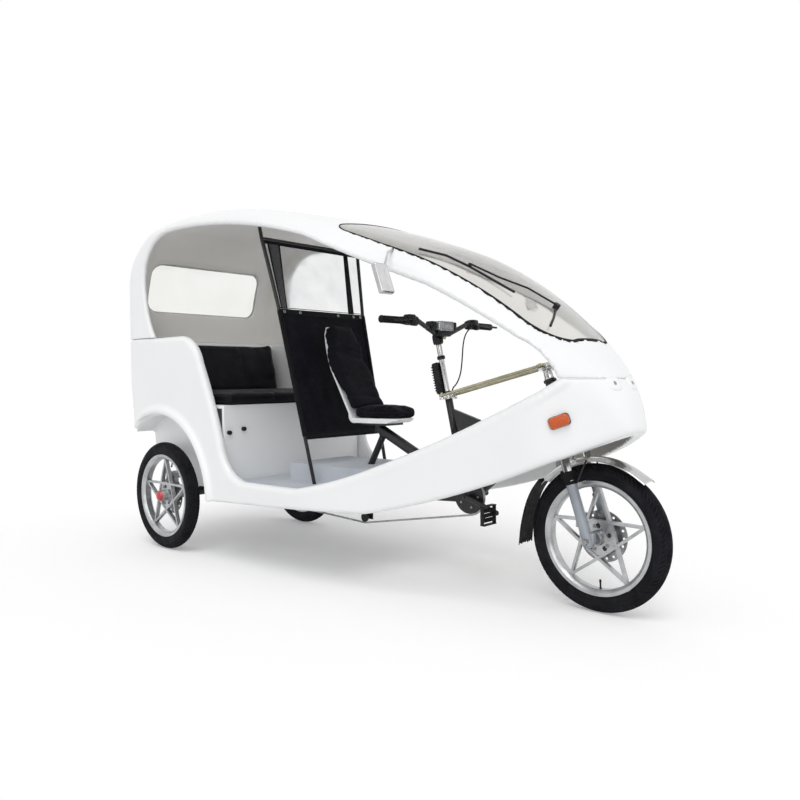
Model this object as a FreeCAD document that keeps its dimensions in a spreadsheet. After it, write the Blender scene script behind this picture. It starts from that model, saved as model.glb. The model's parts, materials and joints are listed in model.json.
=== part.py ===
import FreeCAD, Part
import math
import os
import re

from FreeCAD import Placement, Rotation, Vector

# A three-wheeled cycle rickshaw: a moulded cabin on a tube frame, one steered wheel in front and
# two wheels behind.  Millimetres, +X forward, +Y to the vehicle's left, +Z up.
# Every place along the vehicle is a station: its distance in front of the rear axle.
# The finished parts are shifted so that the origin lies on the floor under the middle of the length.

# ---------------------------------------------------------------- driving sizes
SIZES = [
    # running gear
    ("wheel_radius", 290),
    ("tyre_section_radius", 34),
    ("rim_outer_radius", 224),
    ("rim_inner_radius", 199),
    ("rim_width", 54),
    ("rim_slope", 12),
    ("wheelbase", 2320),
    ("rear_track", 976),
    ("hub_radius", 30),
    ("flange_radius", 69),
    ("flange_thickness", 14),
    ("flange_hole_radius", 10),
    ("flange_hole_circle", 47),
    ("front_hub_length", 96),
    ("rear_hub_length", 84),
    ("axle_radius", 9),
    ("running_gap", 0.05),
    ("side_gap", 1),
    ("spoke_count", 5),
    ("spoke_width", 12),
    ("spoke_depth", 20),
    ("spoke_hub_shift", 62),
    ("spoke_rim_shift", 5),
    ("disc_radius", 103),
    ("disc_thickness", 3),
    ("disc_hole_radius", 5),
    ("disc_hole_circle", 88),
    ("disc_hole_count", 18),
    ("rear_disc_inset", 32),
    ("caliper_length", 46),
    ("caliper_width", 30),
    ("caliper_height", 60),
    ("caliper_gap", 2),
    ("caliper_rise", 96),
    ("bracket_width", 21),
    ("front_disc_inset", 36),
    # cabin shell
    ("cabin_half_width", 525),
    ("rear_end", -370),
    ("nose_overhang", 180),
    ("shell_foot", 250),
    ("lower_wall", 50),
    ("upper_wall", 28),
    ("rear_seam_height", 1150),
    ("front_seam_height", 910),
    ("seam_split_station", 1200),
    ("arch_radius", 440),
    ("arch_lip", 43),
    ("arch_flare", 25),
    ("well_inner", 392),
    ("liner", 8),
    ("rear_window_half_width", 385),
    ("rear_window_foot", 1320),
    ("rear_window_top", 1600),
    ("rear_window_corner", 70),
    ("glass_thickness", 5),
    ("glass_gap", 0.5),
    # floor and seats
    ("floor_rear", -150),
    ("floor_front", 1340),
    ("floor_top", 400),
    ("floor_thickness", 20),
    ("mat_thickness", 8),
    ("mat_margin", 12),
    ("tunnel_half_width", 200),
    ("tunnel_height", 84),
    ("tunnel_rear", 720),
    ("seat_box_front", 520),
    ("seat_box_rear", -210),
    ("seat_box_top", 790),
    ("panel", 18),
    ("knob_radius", 10.8),
    ("knob_length", 16),
    ("bench_front", 552),
    ("bench_rear", -115),
    ("bench_thickness", 62),
    ("bench_half_width", 462),
    ("bench_round", 22),
    ("backrest_height", 354),
    ("backrest_thickness", 95),
    ("backrest_half_width", 435),
    ("backrest_setback", 52),
    ("backrest_lean", 12),
    ("backrest_round", 30),
    ("soft_gap", 0.3),
    # driver's seat
    ("driver_seat_height", 702),
    ("driver_pan_depth", 24),
    ("driver_pan_half_width", 108),
    ("driver_pan_front", 1330),
    ("driver_pad_height", 50),
    ("driver_back_foot", 1040),
    ("driver_back_lean", 30),
    ("driver_back_straight", 250),
    ("driver_back_curve", 673),
    ("driver_back_top_lean", 10),
    ("driver_back_pad", 46),
    ("driver_shell_wall", 12),
    # steering
    ("column_rake", 12.8),
    ("fork_rake", 18),
    ("column_foot_station", 1616),
    ("column_foot_height", 673),
    ("column_tube_length", 150),
    ("column_tube_radius", 17),
    ("stem_radius", 12.5),
    ("stem_top_length", 462),
    ("head_setback", 220),
    ("head_height", 920),
    ("head_top_offset", 22),
    ("fork_arm_rise", 25),
    ("head_tube_length", 215),
    ("head_tube_radius", 22),
    ("steerer_radius", 14),
    ("arm_half_length", 45),
    ("arm_thickness", 8),
    ("arm_radius", 13),
    ("rod_radius", 6),
    ("rod_pin_radius", 5),
    ("rod_pin_height", 22),
    ("bar_radius", 11),
    ("bar_half_width", 393),
    ("bar_rise", 48),
    ("grip_radius", 16),
    ("grip_length", 125),
    ("cable_radius", 3),
    ("cable_barrel", 16),
    ("fork_leg_spacing", 90),
    ("fork_leg_radius", 18),
    ("crown_gap", 8),
    ("crown_thickness", 26),
    ("partition_radius", 9),
    ("fender_radius", 315),
    ("fender_half_width", 45),
    ("fender_thickness", 3),
    ("flap_half_width", 52),
    # frame and drive
    ("beam_radius", 25),
    ("rail_radius", 16),
    ("rail_spacing", 250),
    ("rail_drop", 45),
    ("rail_bend", 1150),
    ("rail_join", 1450),
    ("crank_station", 1730),
    ("crank_height", 400),
    ("crank_length", 170),
    ("crank_angle", -18),
    ("crank_radius", 9),
    ("crank_shell_radius", 24),
    ("crank_shell_length", 72),
    ("chainring_radius", 78),
    ("chain_line", 50),
    ("crank_gap", 40),
    ("chain_width", 7),
    ("chain_depth", 8),
    ("sprocket_radius", 30),
    ("idler_radius", 22),
    ("idler_station", 1090),
    ("idler_height", 232),
    ("guide_station", 1100),
    ("guide_height", 346),
    ("pedal_length", 92),
    ("pedal_width", 82),
    ("pedal_thickness", 22),
    ("pedal_reach", 110),
    ("axle_tube_radius", 24),
    # wiper
    ("blade_radius", 5),
    ("wiper_arm_radius", 4),
    ("wiper_link_radius", 5),
    ("wiper_pivot_radius", 13),
    ("arm_lift", 17),
]

doc = FreeCAD.newDocument("cycle_rickshaw")
sheet = doc.addObject("Spreadsheet::Sheet", "sizes")
for row, (alias, value) in enumerate(SIZES, start=1):
    sheet.set("A%d" % row, alias)
    sheet.set("B%d" % row, str(value))
    sheet.setAlias("B%d" % row, alias)
doc.recompute()
ALIASES = {alias for alias, value in SIZES}


class Sizes:
    """Reads a size from the sheet by its name."""

    def __getattr__(self, alias):
        return float(sheet.get(alias))


size = Sizes()
MIDDLE = "(wheelbase + wheel_radius + rear_end) / 2"
AXLE_FRONT = size.wheelbase
NOSE = AXLE_FRONT + size.nose_overhang
ARCH_HALF = size.cabin_half_width + size.arch_flare
RAIL_HEIGHT = size.floor_top - size.rail_drop
SUBPARTS = []


def with_sheet(formula):
    """Writes a formula's size names as references to the sheet."""
    def named(word):
        return "sizes." + word[0] if word[0] in ALIASES else word[0]
    return re.sub(r"[a-z_]+", named, formula)


def bind(thing, links):
    for prop, formula in links.items():
        thing.setExpression(prop, with_sheet(formula))


def finish(thing, label, x="0", y="0", z="0"):
    """Names a sub-part and shifts it from its station to the vehicle's own frame."""
    thing.Label = label
    bind(thing, {
        ".Placement.Base.x": "%s - %s" % (x, MIDDLE),
        ".Placement.Base.y": y,
        ".Placement.Base.z": z,
    })
    SUBPARTS.append(thing)
    return thing


# ---------------------------------------------------------------- building blocks
def add(kind, name, links=None, placement=None):
    thing = doc.addObject(kind, name)
    bind(thing, links or {})
    if placement is not None:
        thing.Placement = placement
    return thing


def rod(name, start, end, radius):
    """A round bar between two points, its radius a formula of the sheet."""
    span = end - start
    placement = Placement(start, Rotation(Vector(0, 0, 1), span))
    bar = add("Part::Cylinder", name, {"Radius": radius}, placement)
    bar.Height = span.Length
    return bar


def block(name, corner, extent):
    box = doc.addObject("Part::Box", name)
    box.Length, box.Width, box.Height = extent
    box.Placement = Placement(Vector(*corner), Rotation())
    return box


def ball(name, centre, radius):
    return add("Part::Sphere", name, {"Radius": radius}, Placement(centre, Rotation()))


def fuse(name, shapes):
    whole = doc.addObject("Part::MultiFuse", name)
    whole.Shapes = shapes
    whole.Refine = True
    return whole


def cut(name, base, tool):
    rest = doc.addObject("Part::Cut", name)
    rest.Base = base
    rest.Tool = tool
    return rest


def common(name, first, second):
    shared = doc.addObject("Part::Common", name)
    shared.Base = first
    shared.Tool = second
    return shared


def compound(name, shapes):
    group = doc.addObject("Part::Compound", name)
    group.Links = shapes
    return group


def solid_feature(name, shape):
    thing = doc.addObject("Part::Feature", name)
    thing.Shape = shape
    return thing


def plane_of(body, role):
    return next(plane for plane in body.Origin.OriginFeatures if plane.Role == role)


def sketch_on(body, name, role, edges, offset=None):
    sketch = body.newObject("Sketcher::SketchObject", name)
    sketch.AttachmentSupport = [(plane_of(body, role), "")]
    sketch.MapMode = "FlatFace"
    if offset is not None:
        bind(sketch, {"AttachmentOffset.Base.z": offset})
    for edge in edges:
        sketch.addGeometry(edge, False)
    return sketch


def line(start, end):
    return Part.LineSegment(Vector(start[0], start[1], 0), Vector(end[0], end[1], 0))


def loop(points):
    return [line(a, b) for a, b in zip(points, points[1:] + points[:1])]


def side_wire(path):
    """A closed wire in the side view: each step is (x, z) for a line or (via, end) for an arc."""
    start = path[0]
    here = start
    edges = []
    for step in path[1:] + [start]:
        if isinstance(step[0], tuple):
            via, end = step
            points = [Vector(p[0], 0, p[1]) for p in (here, via, end)]
            edges.append(Part.Arc(*points).toShape())
        else:
            end = step
            if end != here:
                points = [Vector(p[0], 0, p[1]) for p in (here, end)]
                edges.append(Part.LineSegment(*points).toShape())
        here = end
    return Part.Wire(edges)


def side_prism(path, low, high):
    face = Part.Face(side_wire(path))
    face.translate(Vector(0, low, 0))
    return face.extrude(Vector(0, high - low, 0))


def bent_tube(name, points, radius):
    """A cable's tube: straight runs joined by tangent arcs, each as large as its two runs allow."""
    edges, radii = [], []
    here = points[0]
    for before, corner, after in zip(points, points[1:], points[2:]):
        back, onward = before - corner, after - corner
        reach = 0.45 * min(back.Length, onward.Length)
        half_turn = (math.pi - back.getAngle(onward)) / 2
        arc_radius = reach / math.tan(half_turn)
        back.normalize()
        onward.normalize()
        start, end = corner + back * reach, corner + onward * reach
        inward = (back + onward).normalize()
        middle = corner + inward * (arc_radius / math.cos(half_turn) - arc_radius)
        edges.append(Part.LineSegment(here, start).toShape())
        edges.append(Part.Arc(start, middle, end).toShape())
        radii.append(arc_radius)
        here = end
    edges.append(Part.LineSegment(here, points[-1]).toShape())
    path = Part.Wire(edges)
    profile = Part.Wire([Part.makeCircle(radius, points[0], points[1] - points[0])])
    tube = path.makePipeShell([profile], True, False)
    print("%s: length %.0f, radii %s" % (name, path.Length, ", ".join("%.0f" % r for r in radii)))
    share = tube.Volume / (math.pi * radius**2 * path.Length)
    print("%s: volume over section times length %.4f" % (name, share))
    return solid_feature(name, tube)


# ---------------------------------------------------------------- steering axes
def leaned_back(degrees):
    """The upward direction leaned backwards from upright."""
    lean = math.radians(degrees)
    return Vector(-math.sin(lean), 0, math.cos(lean))


COLUMN_UP = leaned_back(size.column_rake)
FORK_UP = leaned_back(size.fork_rake)
COLUMN_FOOT = Vector(size.column_foot_station, 0, size.column_foot_height)
HEAD = Vector(size.wheelbase - size.head_setback, 0, size.head_height)
CRANK = Vector(size.crank_station, 0, size.crank_height)
SIDES = (("left", 1), ("right", -1))


def on_column(length):
    return COLUMN_FOOT + COLUMN_UP * length


def below_head(length):
    return HEAD - FORK_UP * length


# ---------------------------------------------------------------- cabin shell
# columns: station, half width, height of the roof or nose, depth of the shoulder's curve,
# half width of the crowned middle, rise of the crown
SECTIONS = [
    (size.rear_end, size.cabin_half_width - 95, 1370, 80, 330, 5),
    (size.rear_end + 25, size.cabin_half_width - 35, 1465, 90, 380, 8),
    (size.rear_end + 100, size.cabin_half_width, 1634, 98, 400, 10),
    (size.rear_end + 240, size.cabin_half_width, 1750, 98, 420, 12),
    (150, size.cabin_half_width, 1792, 85, 410, 14),
    (700, size.cabin_half_width, 1768, 115, 400, 18),
    (1200, size.cabin_half_width - 10, 1650, 140, 330, 22),
    (1500, size.cabin_half_width - 60, 1553, 170, 260, 25),
    (AXLE_FRONT - 520, 395, 1432, 175, 200, 22),
    (AXLE_FRONT - 260, 345, 1264, 165, 160, 20),
    (NOSE - 260, 298, 1110, 150, 130, 18),
    (NOSE - 140, 222, 987, 130, 100, 15),
    (NOSE - 50, 128, 847, 100, 60, 10),
    (NOSE, 52, 690, 40, 25, 4),
]
SHOULDER_OUT = 0.72
SHOULDER_DOWN = 0.29

# side view of the door opening, from its rear foot on the rear seam, over the roof rail to the
# nose, and back along the sill and up the seat's arm rest
OPENING = [
    (-50, size.rear_seam_height),
    ((-140, 1363), (-140, 1540)),
    ((-60, 1645), (120, 1705)),
    ((663, 1665), (1175, 1545)),
    ((1500, 1400), (AXLE_FRONT - 550, 1288)),
    ((AXLE_FRONT - 330, 1165), (AXLE_FRONT - 170, 1062)),
    ((AXLE_FRONT - 80, 995), (AXLE_FRONT - 30, size.front_seam_height)),
    (AXLE_FRONT - 100, 861),
    ((AXLE_FRONT - 450, 690), (1500, 537)),
    ((1330, 480), (1100, 427)),
    (760, 425),
    ((622, 470), (555, 570)),
    ((468, 815), (376, 1010)),
    ((322, 1100), (200, size.rear_seam_height)),
]
# half outline of the windscreen from above, as station and half width
SCREEN = {
    "rear": (1230, 0),
    "rear corner": (1250, 320),
    "rear curve": (1279, 381),
    "shoulder": (1350, 402),
    "side": (AXLE_FRONT - 570, 341),
    "waist": (AXLE_FRONT - 185, 268),
    "front curve": (AXLE_FRONT - 77, 207),
    "front corner": (AXLE_FRONT - 36, 90),
    "front": (AXLE_FRONT - 29, 0),
}
# side view of what lies below the shell's lower edge
UNDERSIDE = [
    (-900, 625),
    (-205, 625),
    (-205, 470),
    (0, 470),
    (0, 304),
    (400, 304),
    (1490, 350),
    ((AXLE_FRONT - 490, 437), (AXLE_FRONT - 130, 570)),
    (AXLE_FRONT + 10, 630),
    (NOSE, 712),
    (NOSE + 100, 712),
    (NOSE + 100, 0),
    (-900, 0),
]
# side view of what the leaning rear wall leaves off below the seam
TAIL = [
    (size.rear_end, size.rear_seam_height), (-318, 930), (-272, 640), (-260, 400), (-900, 400),
    (-900, size.rear_seam_height),
]


def inset_sections(depth):
    """The section table moved inwards by a wall's thickness, square to the side-view outline."""
    rows = []
    for index, (station, half, top, drop, flat, rise) in enumerate(SECTIONS):
        before = SECTIONS[max(index - 1, 0)]
        after = SECTIONS[min(index + 1, len(SECTIONS) - 1)]
        run = Vector(after[0] - before[0], 0, after[2] - before[2])
        if index == 0:
            run = Vector(0, 0, 1)
        run.normalize()
        inner_station, inner_top = station + depth * run.z, top - depth * run.x
        rows.append((inner_station, half - depth, inner_top, drop, flat - depth / 3, rise))
    return rows


def arch_wire(station, half, top, drop, flat, rise):
    """An upright section: straight sides, curved shoulders and a crowned middle."""
    foot = size.shell_foot
    shoulder = top - drop
    edge = top - rise
    out = flat + (half - flat) * SHOULDER_OUT
    down = edge - (edge - shoulder) * SHOULDER_DOWN
    corners = ((half, foot), (half, shoulder), (out, down), (flat, edge))
    right = [Vector(station, -y, z) for y, z in corners]
    left = [Vector(point.x, -point.y, point.z) for point in right]
    return Part.Wire([
        Part.LineSegment(right[0], right[1]).toShape(),
        Part.Arc(right[1], right[2], right[3]).toShape(),
        Part.Arc(right[3], Vector(station, 0, top), left[3]).toShape(),
        Part.Arc(left[3], left[2], left[1]).toShape(),
        Part.LineSegment(left[1], left[0]).toShape(),
        Part.LineSegment(left[0], right[0]).toShape(),
    ])


def hull(depth):
    return Part.makeLoft([arch_wire(*row) for row in inset_sections(depth)], True, True)


def above_seams():
    """Everything above the two seams between the upper and the lower shell."""
    wide = 2 * ARCH_HALF
    split = size.seam_split_station
    rear = Part.makeBox(900 + split, 2 * wide, 2000, Vector(-900, -wide, size.rear_seam_height))
    long = NOSE + 200 - split
    front = Part.makeBox(long, 2 * wide, 2000, Vector(split, -wide, size.front_seam_height))
    return rear.fuse(front)


def windscreen_prism(margin):
    """The windscreen's outline from above, drawn out upwards: broad on the roof, round in front."""
    def point(name, sign):
        station, across = SCREEN[name]
        return Vector(station, sign * across, 1000)

    def arc(*points):
        return Part.Arc(*[point(name, sign) for name, sign in points]).toShape()

    edges = [arc(("rear corner", -1), ("rear", 1), ("rear corner", 1))]
    edges.append(arc(("front corner", -1), ("front", 1), ("front corner", 1)))
    for side, sign in SIDES:
        edges.append(arc(("rear corner", sign), ("rear curve", sign), ("shoulder", sign)))
        edges.append(arc(("shoulder", sign), ("side", sign), ("waist", sign)))
        edges.append(arc(("waist", sign), ("front curve", sign), ("front corner", sign)))
    outline = Part.Wire(Part.__sortEdges__(edges))
    if margin > 0:
        outline = outline.makeOffset2D(-margin)
    return Part.Face(outline).extrude(Vector(0, 0, 900))


def rear_window_prism(margin):
    """The rear window's round-cornered outline, drawn along the vehicle."""
    half = size.rear_window_half_width - margin
    low, high = size.rear_window_foot + margin, size.rear_window_top - margin
    corner = size.rear_window_corner - margin
    box = Part.makeBox(500, 2 * half, high - low, Vector(size.rear_end - 100, -half, low))
    edges = [edge for edge in box.Edges if abs(edge.tangentAt(edge.FirstParameter).x) > 0.9]
    return box.makeFillet(corner, edges)


def cylinder_across(station, height, radius, low, high):
    return Part.makeCylinder(radius, high - low, Vector(station, low, height), Vector(0, 1, 0))


def make_shells():
    outer = hull(0)
    opening = side_prism(OPENING, -900, 900)
    upper_region = above_seams()

    upper = outer.common(upper_region).cut(hull(size.upper_wall)).cut(opening)
    upper = upper.cut(windscreen_prism(0)).cut(rear_window_prism(0))
    finish(solid_feature("UpperShell", upper), "upper_shell")

    tail = side_prism(TAIL, -900, 900)
    inner_tail = tail.copy()
    inner_tail.translate(Vector(size.lower_wall, 0, 0))
    hollow = hull(size.lower_wall).cut(inner_tail)
    lower = outer.cut(upper_region).cut(hollow).cut(opening)
    lower = lower.cut(side_prism(UNDERSIDE, -900, 900))
    for side, sign in SIDES:
        near, far = sorted((sign * size.well_inner, sign * (ARCH_HALF + 50)))
        lower = lower.cut(cylinder_across(0, size.wheel_radius, size.arch_radius, near, far))
    lower = lower.multiFuse(arch_lips() + wheel_wells()).cut(tail).removeSplitter()
    finish(solid_feature("LowerShell", lower), "lower_shell")

    skin = hull(size.glass_gap).cut(hull(size.glass_gap + size.glass_thickness))
    screen = skin.common(windscreen_prism(size.glass_gap))
    finish(solid_feature("Windscreen", screen), "windscreen")
    pane = skin.common(rear_window_prism(size.glass_gap))
    finish(solid_feature("RearWindow", pane), "rear_window")


def arch_lips():
    """The flares round the rear wheel arches, from the sill to the tail."""
    lips = []
    for side, sign in SIDES:
        near, far = sorted((sign * (size.cabin_half_width - 20), sign * ARCH_HALF))
        ring = cylinder_across(0, size.wheel_radius, size.arch_radius + size.arch_lip, near, far)
        ring = ring.cut(cylinder_across(0, size.wheel_radius, size.arch_radius, near, far))
        keep = side_prism([(-215, 620), (-215, 900), (600, 900), (600, 330), (0, 330)], -900, 900)
        lips.append(ring.common(keep))
    return lips


def wheel_wells():
    """The liners that close the rear wheel arches towards the cabin."""
    wells = []
    keep = side_prism([(-330, 470), (-330, 900), (600, 900), (600, 330), (0, 330), (0, 470)], -900, 900)
    for side, sign in SIDES:
        near, far = sorted((sign * (size.well_inner - size.liner), sign * (size.cabin_half_width - 20)))
        drum = cylinder_across(0, size.wheel_radius, size.arch_radius + size.liner, near, far)
        near, far = sorted((sign * size.well_inner, sign * (ARCH_HALF + 50)))
        drum = drum.cut(cylinder_across(0, size.wheel_radius, size.arch_radius, near, far))
        wells.append(drum.common(keep))
    return wells


# ---------------------------------------------------------------- floor and passenger bench
def make_floor():
    half = size.cabin_half_width - size.lower_wall - 1
    long = size.floor_front - size.floor_rear
    deck = block("floor_deck", (size.floor_rear, -half, size.floor_top - size.floor_thickness),
                 (long, 2 * half, size.floor_thickness))
    tunnel_long = size.floor_front - size.tunnel_rear
    tunnel = block("floor_tunnel", (size.tunnel_rear, -size.tunnel_half_width, size.floor_top - 1),
                   (tunnel_long, 2 * size.tunnel_half_width, size.tunnel_height + 1))
    hollow = block("floor_hollow",
                   (size.tunnel_rear + size.panel, -size.tunnel_half_width + size.panel,
                    size.floor_top - size.floor_thickness - 1),
                   (tunnel_long, 2 * (size.tunnel_half_width - size.panel),
                    size.tunnel_height + size.floor_thickness + 1 - size.panel))
    cabin = solid_feature("cabin_inside", hull(size.lower_wall + size.side_gap))
    plate = common("floor_trimmed", fuse("floor_plate", [deck, tunnel]), cabin)
    wells = [hollow, passages("floor_passage")]
    for side, sign in SIDES:
        outer = size.well_inner - size.liner - size.side_gap
        start = Vector(0, sign * outer, size.wheel_radius)
        end = Vector(0, sign * (half + 50), size.wheel_radius)
        well = rod("floor_well_" + side, start, end, "arch_radius + liner + side_gap")
        wells.append(well)
    finish(cut("FloorPan", plate, fuse("floor_holes", wells)), "floor_pan")

    mat_half = half - size.mat_margin
    rear = size.seat_box_front + size.mat_margin
    sheet_mat = block("mat_sheet", (rear, -mat_half, size.floor_top),
                      (size.floor_front - rear - 2, 2 * mat_half, size.mat_thickness))
    top = size.floor_top + size.tunnel_height
    tunnel_mat = block("mat_tunnel",
                       (size.tunnel_rear - size.mat_thickness, -size.tunnel_half_width - size.mat_thickness,
                        size.floor_top),
                       (tunnel_long - 2 + size.mat_thickness,
                        2 * (size.tunnel_half_width + size.mat_thickness),
                        size.tunnel_height + size.mat_thickness))
    raised = fuse("mat_raised", [sheet_mat, tunnel_mat])
    hole = block("mat_hole", (size.tunnel_rear, -size.tunnel_half_width, size.floor_top - 1),
                 (tunnel_long, 2 * size.tunnel_half_width, top - size.floor_top + 1))
    mat_edge = solid_feature("mat_edge", hull(size.lower_wall + size.mat_margin))
    holes = [hole, passages("mat_passage")] + partition_tubes("mat_partition", size.side_gap)[:2]
    finish(cut("FloorMat", common("mat_trimmed", raised, mat_edge), fuse("mat_holes", holes)), "floor_mat")


def seat_leg(name, gap):
    """The tube that carries the seat clamp, or the wider hole that it passes through."""
    return rod(name, Vector(1180, 0, 650), Vector(1010, 0, RAIL_HEIGHT), "rail_radius + %g" % gap)


def passages(name):
    """The hole for the seat's leg through the floor and its mat."""
    return seat_leg(name, size.side_gap)


def make_seat_box():
    half = size.cabin_half_width - size.lower_wall - 2
    front = block("box_front", (size.seat_box_front - size.panel, -half, size.floor_top),
                  (size.panel, 2 * half, size.seat_box_top - size.floor_top))
    top = block("box_top", (size.seat_box_rear, -half, size.seat_box_top - size.panel),
                (size.seat_box_front - size.seat_box_rear, 2 * half, size.panel))
    back_half = size.well_inner - size.liner - 11
    back = block("box_back", (size.seat_box_rear, -back_half, size.floor_top + 80),
                 (size.panel, 2 * back_half, size.seat_box_top - size.floor_top - 80))
    finish(fuse("SeatBox", [front, top, back]), "seat_box")

    knobs = []
    for index, (across, height) in enumerate(((-445, 651), (-357, 666))):
        start = Vector(size.seat_box_front, across, height)
        knobs.append(rod("knob_%d" % index, start, start + Vector(size.knob_length, 0, 0), "knob_radius"))
    finish(compound("SeatBoxKnobs", knobs), "seat_box_knobs")


def rectangle(length, width):
    x, y = length / 2, width / 2
    return [(-x, -y), (x, -y), (x, y), (-x, y)]


def rounded_pad(name, label, corners, height, radius, x, y, z, lean=0):
    """A cushion: a padded outline with all its edges rounded."""
    body = doc.addObject("PartDesign::Body", name)
    outline = sketch_on(body, name + "_outline", "XY_Plane", loop(corners))
    pad = body.newObject("PartDesign::Pad", name + "_pad")
    pad.Profile = outline
    pad.Length = height
    doc.recompute()
    fillet = body.newObject("PartDesign::Fillet", name + "_round")
    fillet.Base = (pad, ["Edge%d" % (index + 1) for index in range(len(pad.Shape.Edges))])
    fillet.Radius = radius
    body.Tip = fillet
    body.Placement = Placement(Vector(x, y, z), Rotation(Vector(0, 1, 0), lean))
    finish(body, label, x="%g" % x, y="%g" % y, z="%g" % z)


def make_bench():
    rounded_pad("BenchCushion", "bench_cushion",
                rectangle(size.bench_front - size.bench_rear, 2 * size.bench_half_width),
                size.bench_thickness, size.bench_round,
                (size.bench_front + size.bench_rear) / 2, 0, size.seat_box_top + size.soft_gap)
    lean = math.radians(size.backrest_lean)
    round_off = size.backrest_round
    drop = (size.backrest_thickness / 2 - round_off) * math.sin(lean) + round_off * (1 - math.cos(lean))
    rounded_pad("BenchBackrest", "bench_backrest",
                rectangle(size.backrest_thickness, 2 * size.backrest_half_width),
                size.backrest_height, round_off, size.bench_rear - size.backrest_setback, 0,
                size.seat_box_top + drop + size.soft_gap, -size.backrest_lean)


# ---------------------------------------------------------------- main frame
def make_frame():
    tubes = []
    low = RAIL_HEIGHT
    seat_clamp = Vector(1150, 0, 672)
    nose = below_head(size.head_tube_length - 50)
    floor_bend = Vector(size.floor_front - 60, 0, low)
    rise_end = CRANK - Vector(0, 0, 20)
    share = (size.rail_join - floor_bend.x) / (rise_end.x - floor_bend.x)
    rail_join = floor_bend + (rise_end - floor_bend) * share
    top_joint = on_column(28)
    tubes.append(rod("beam_seat", seat_clamp, CRANK, "beam_radius"))
    tubes.append(rod("beam_nose", CRANK, nose, "beam_radius"))
    gusset = side_prism([(1606, 778), (1756, 732), (1740, 706), (1652, 640)], -8, 8)
    tubes.append(solid_feature("column_gusset", gusset))
    tubes.append(rod("beam_floor", Vector(-60, 0, low), floor_bend, "rail_radius"))
    tubes.append(ball("beam_bend", floor_bend, "rail_radius"))
    tubes.append(rod("beam_rise", floor_bend, rise_end, "rail_radius"))
    tubes.append(rod("column_post", CRANK + Vector(-70, 0, 40), top_joint, "rail_radius"))
    tubes.append(seat_leg("seat_leg", 0))
    for side, sign in SIDES:
        rail = sign * size.rail_spacing
        bend = Vector(size.rail_bend, rail, low)
        tubes.append(rod("rail_" + side, Vector(-250, rail, low), bend, "rail_radius"))
        tubes.append(rod("rail_front_" + side, bend, rail_join, "rail_radius"))
        tubes.append(ball("rail_bend_" + side, bend, "rail_radius"))
    for index, station in enumerate((-250, 0, 420, 1010)):
        start = Vector(station, -size.rail_spacing, low)
        end = Vector(station, size.rail_spacing, low)
        tubes.append(rod("cross_%d" % index, start, end, "rail_radius"))
        for side, sign in SIDES:
            place = Vector(station, sign * size.rail_spacing, low)
            tubes.append(ball("cross_end_%d_%s" % (index, side), place, "rail_radius"))
    column = rod("column_tube", COLUMN_FOOT, on_column(size.column_tube_length), "column_tube_radius")
    head_low = below_head(size.head_tube_length)
    head = rod("head_tube", head_low, below_head(size.head_top_offset), "head_tube_radius")
    shell_start = CRANK - Vector(0, size.crank_shell_length / 2, 0)
    shell_end = CRANK + Vector(0, size.crank_shell_length / 2, 0)
    crank_shell = rod("crank_shell", shell_start, shell_end, "crank_shell_radius + 2")
    seat_plate = block("seat_plate", (1090, -60, 690), (160, 120, 12))
    seat_lug = rod("seat_lug", Vector(1150, 0, 655), Vector(1150, 0, 692), "beam_radius")
    whole = fuse("frame_tubes", tubes + [column, head, crank_shell, seat_plate, seat_lug])
    bores = compound("frame_bores", [
        rod("column_bore", on_column(-40), on_column(400), "stem_radius + running_gap"),
        rod("head_bore", below_head(size.head_tube_length + 60), below_head(-40),
            "steerer_radius + running_gap"),
        rod("crank_bore", shell_start - Vector(0, 5, 0), shell_end + Vector(0, 5, 0),
            "crank_radius + running_gap"),
    ])
    finish(cut("MainFrame", whole, bores), "main_frame")


def make_rear_axle():
    half = size.rear_track / 2
    hub_half = size.rear_hub_length / 2
    middle = Vector(0, 0, size.wheel_radius)
    tube_end = half - hub_half - size.side_gap
    tube = rod("axle_tube", middle - Vector(0, tube_end, 0), middle + Vector(0, tube_end, 0),
               "axle_tube_radius")
    shaft_end = half + hub_half + 14
    shaft = rod("axle_shaft", middle - Vector(0, shaft_end, 0), middle + Vector(0, shaft_end, 0),
                "axle_radius")
    inner = size.chain_line - size.chain_width
    case = rod("differential", middle - Vector(0, inner, 0), middle + Vector(0, 60, 0),
               "axle_tube_radius * 2.4")
    sprocket = rod("sprocket", middle - Vector(0, size.chain_line + 2, 0),
                   middle - Vector(0, size.chain_line - 2, 0), "sprocket_radius - 0.5")
    hangers = []
    for side, sign in SIDES:
        rail = sign * size.rail_spacing
        reach = RAIL_HEIGHT - size.rail_radius - size.wheel_radius + 8
        hangers.append(block("hanger_" + side, (-30, rail - 16, size.wheel_radius), (60, 32, reach)))
    whole = fuse("axle_body", [tube, shaft, case, sprocket] + hangers)
    rails = []
    for side, sign in SIDES:
        rail = sign * size.rail_spacing
        rails.append(rod("seat_rail_" + side, Vector(-300, rail, RAIL_HEIGHT),
                         Vector(300, rail, RAIL_HEIGHT), "rail_radius"))
    tunnel = rod("cross_clear", Vector(0, -300, RAIL_HEIGHT), Vector(0, 300, RAIL_HEIGHT), "rail_radius")
    beam = rod("beam_clear", Vector(-61, 0, RAIL_HEIGHT), Vector(300, 0, RAIL_HEIGHT), "rail_radius")
    finish(cut("RearAxle", whole, compound("axle_clearance", rails + [tunnel, beam])), "rear_axle")


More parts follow.
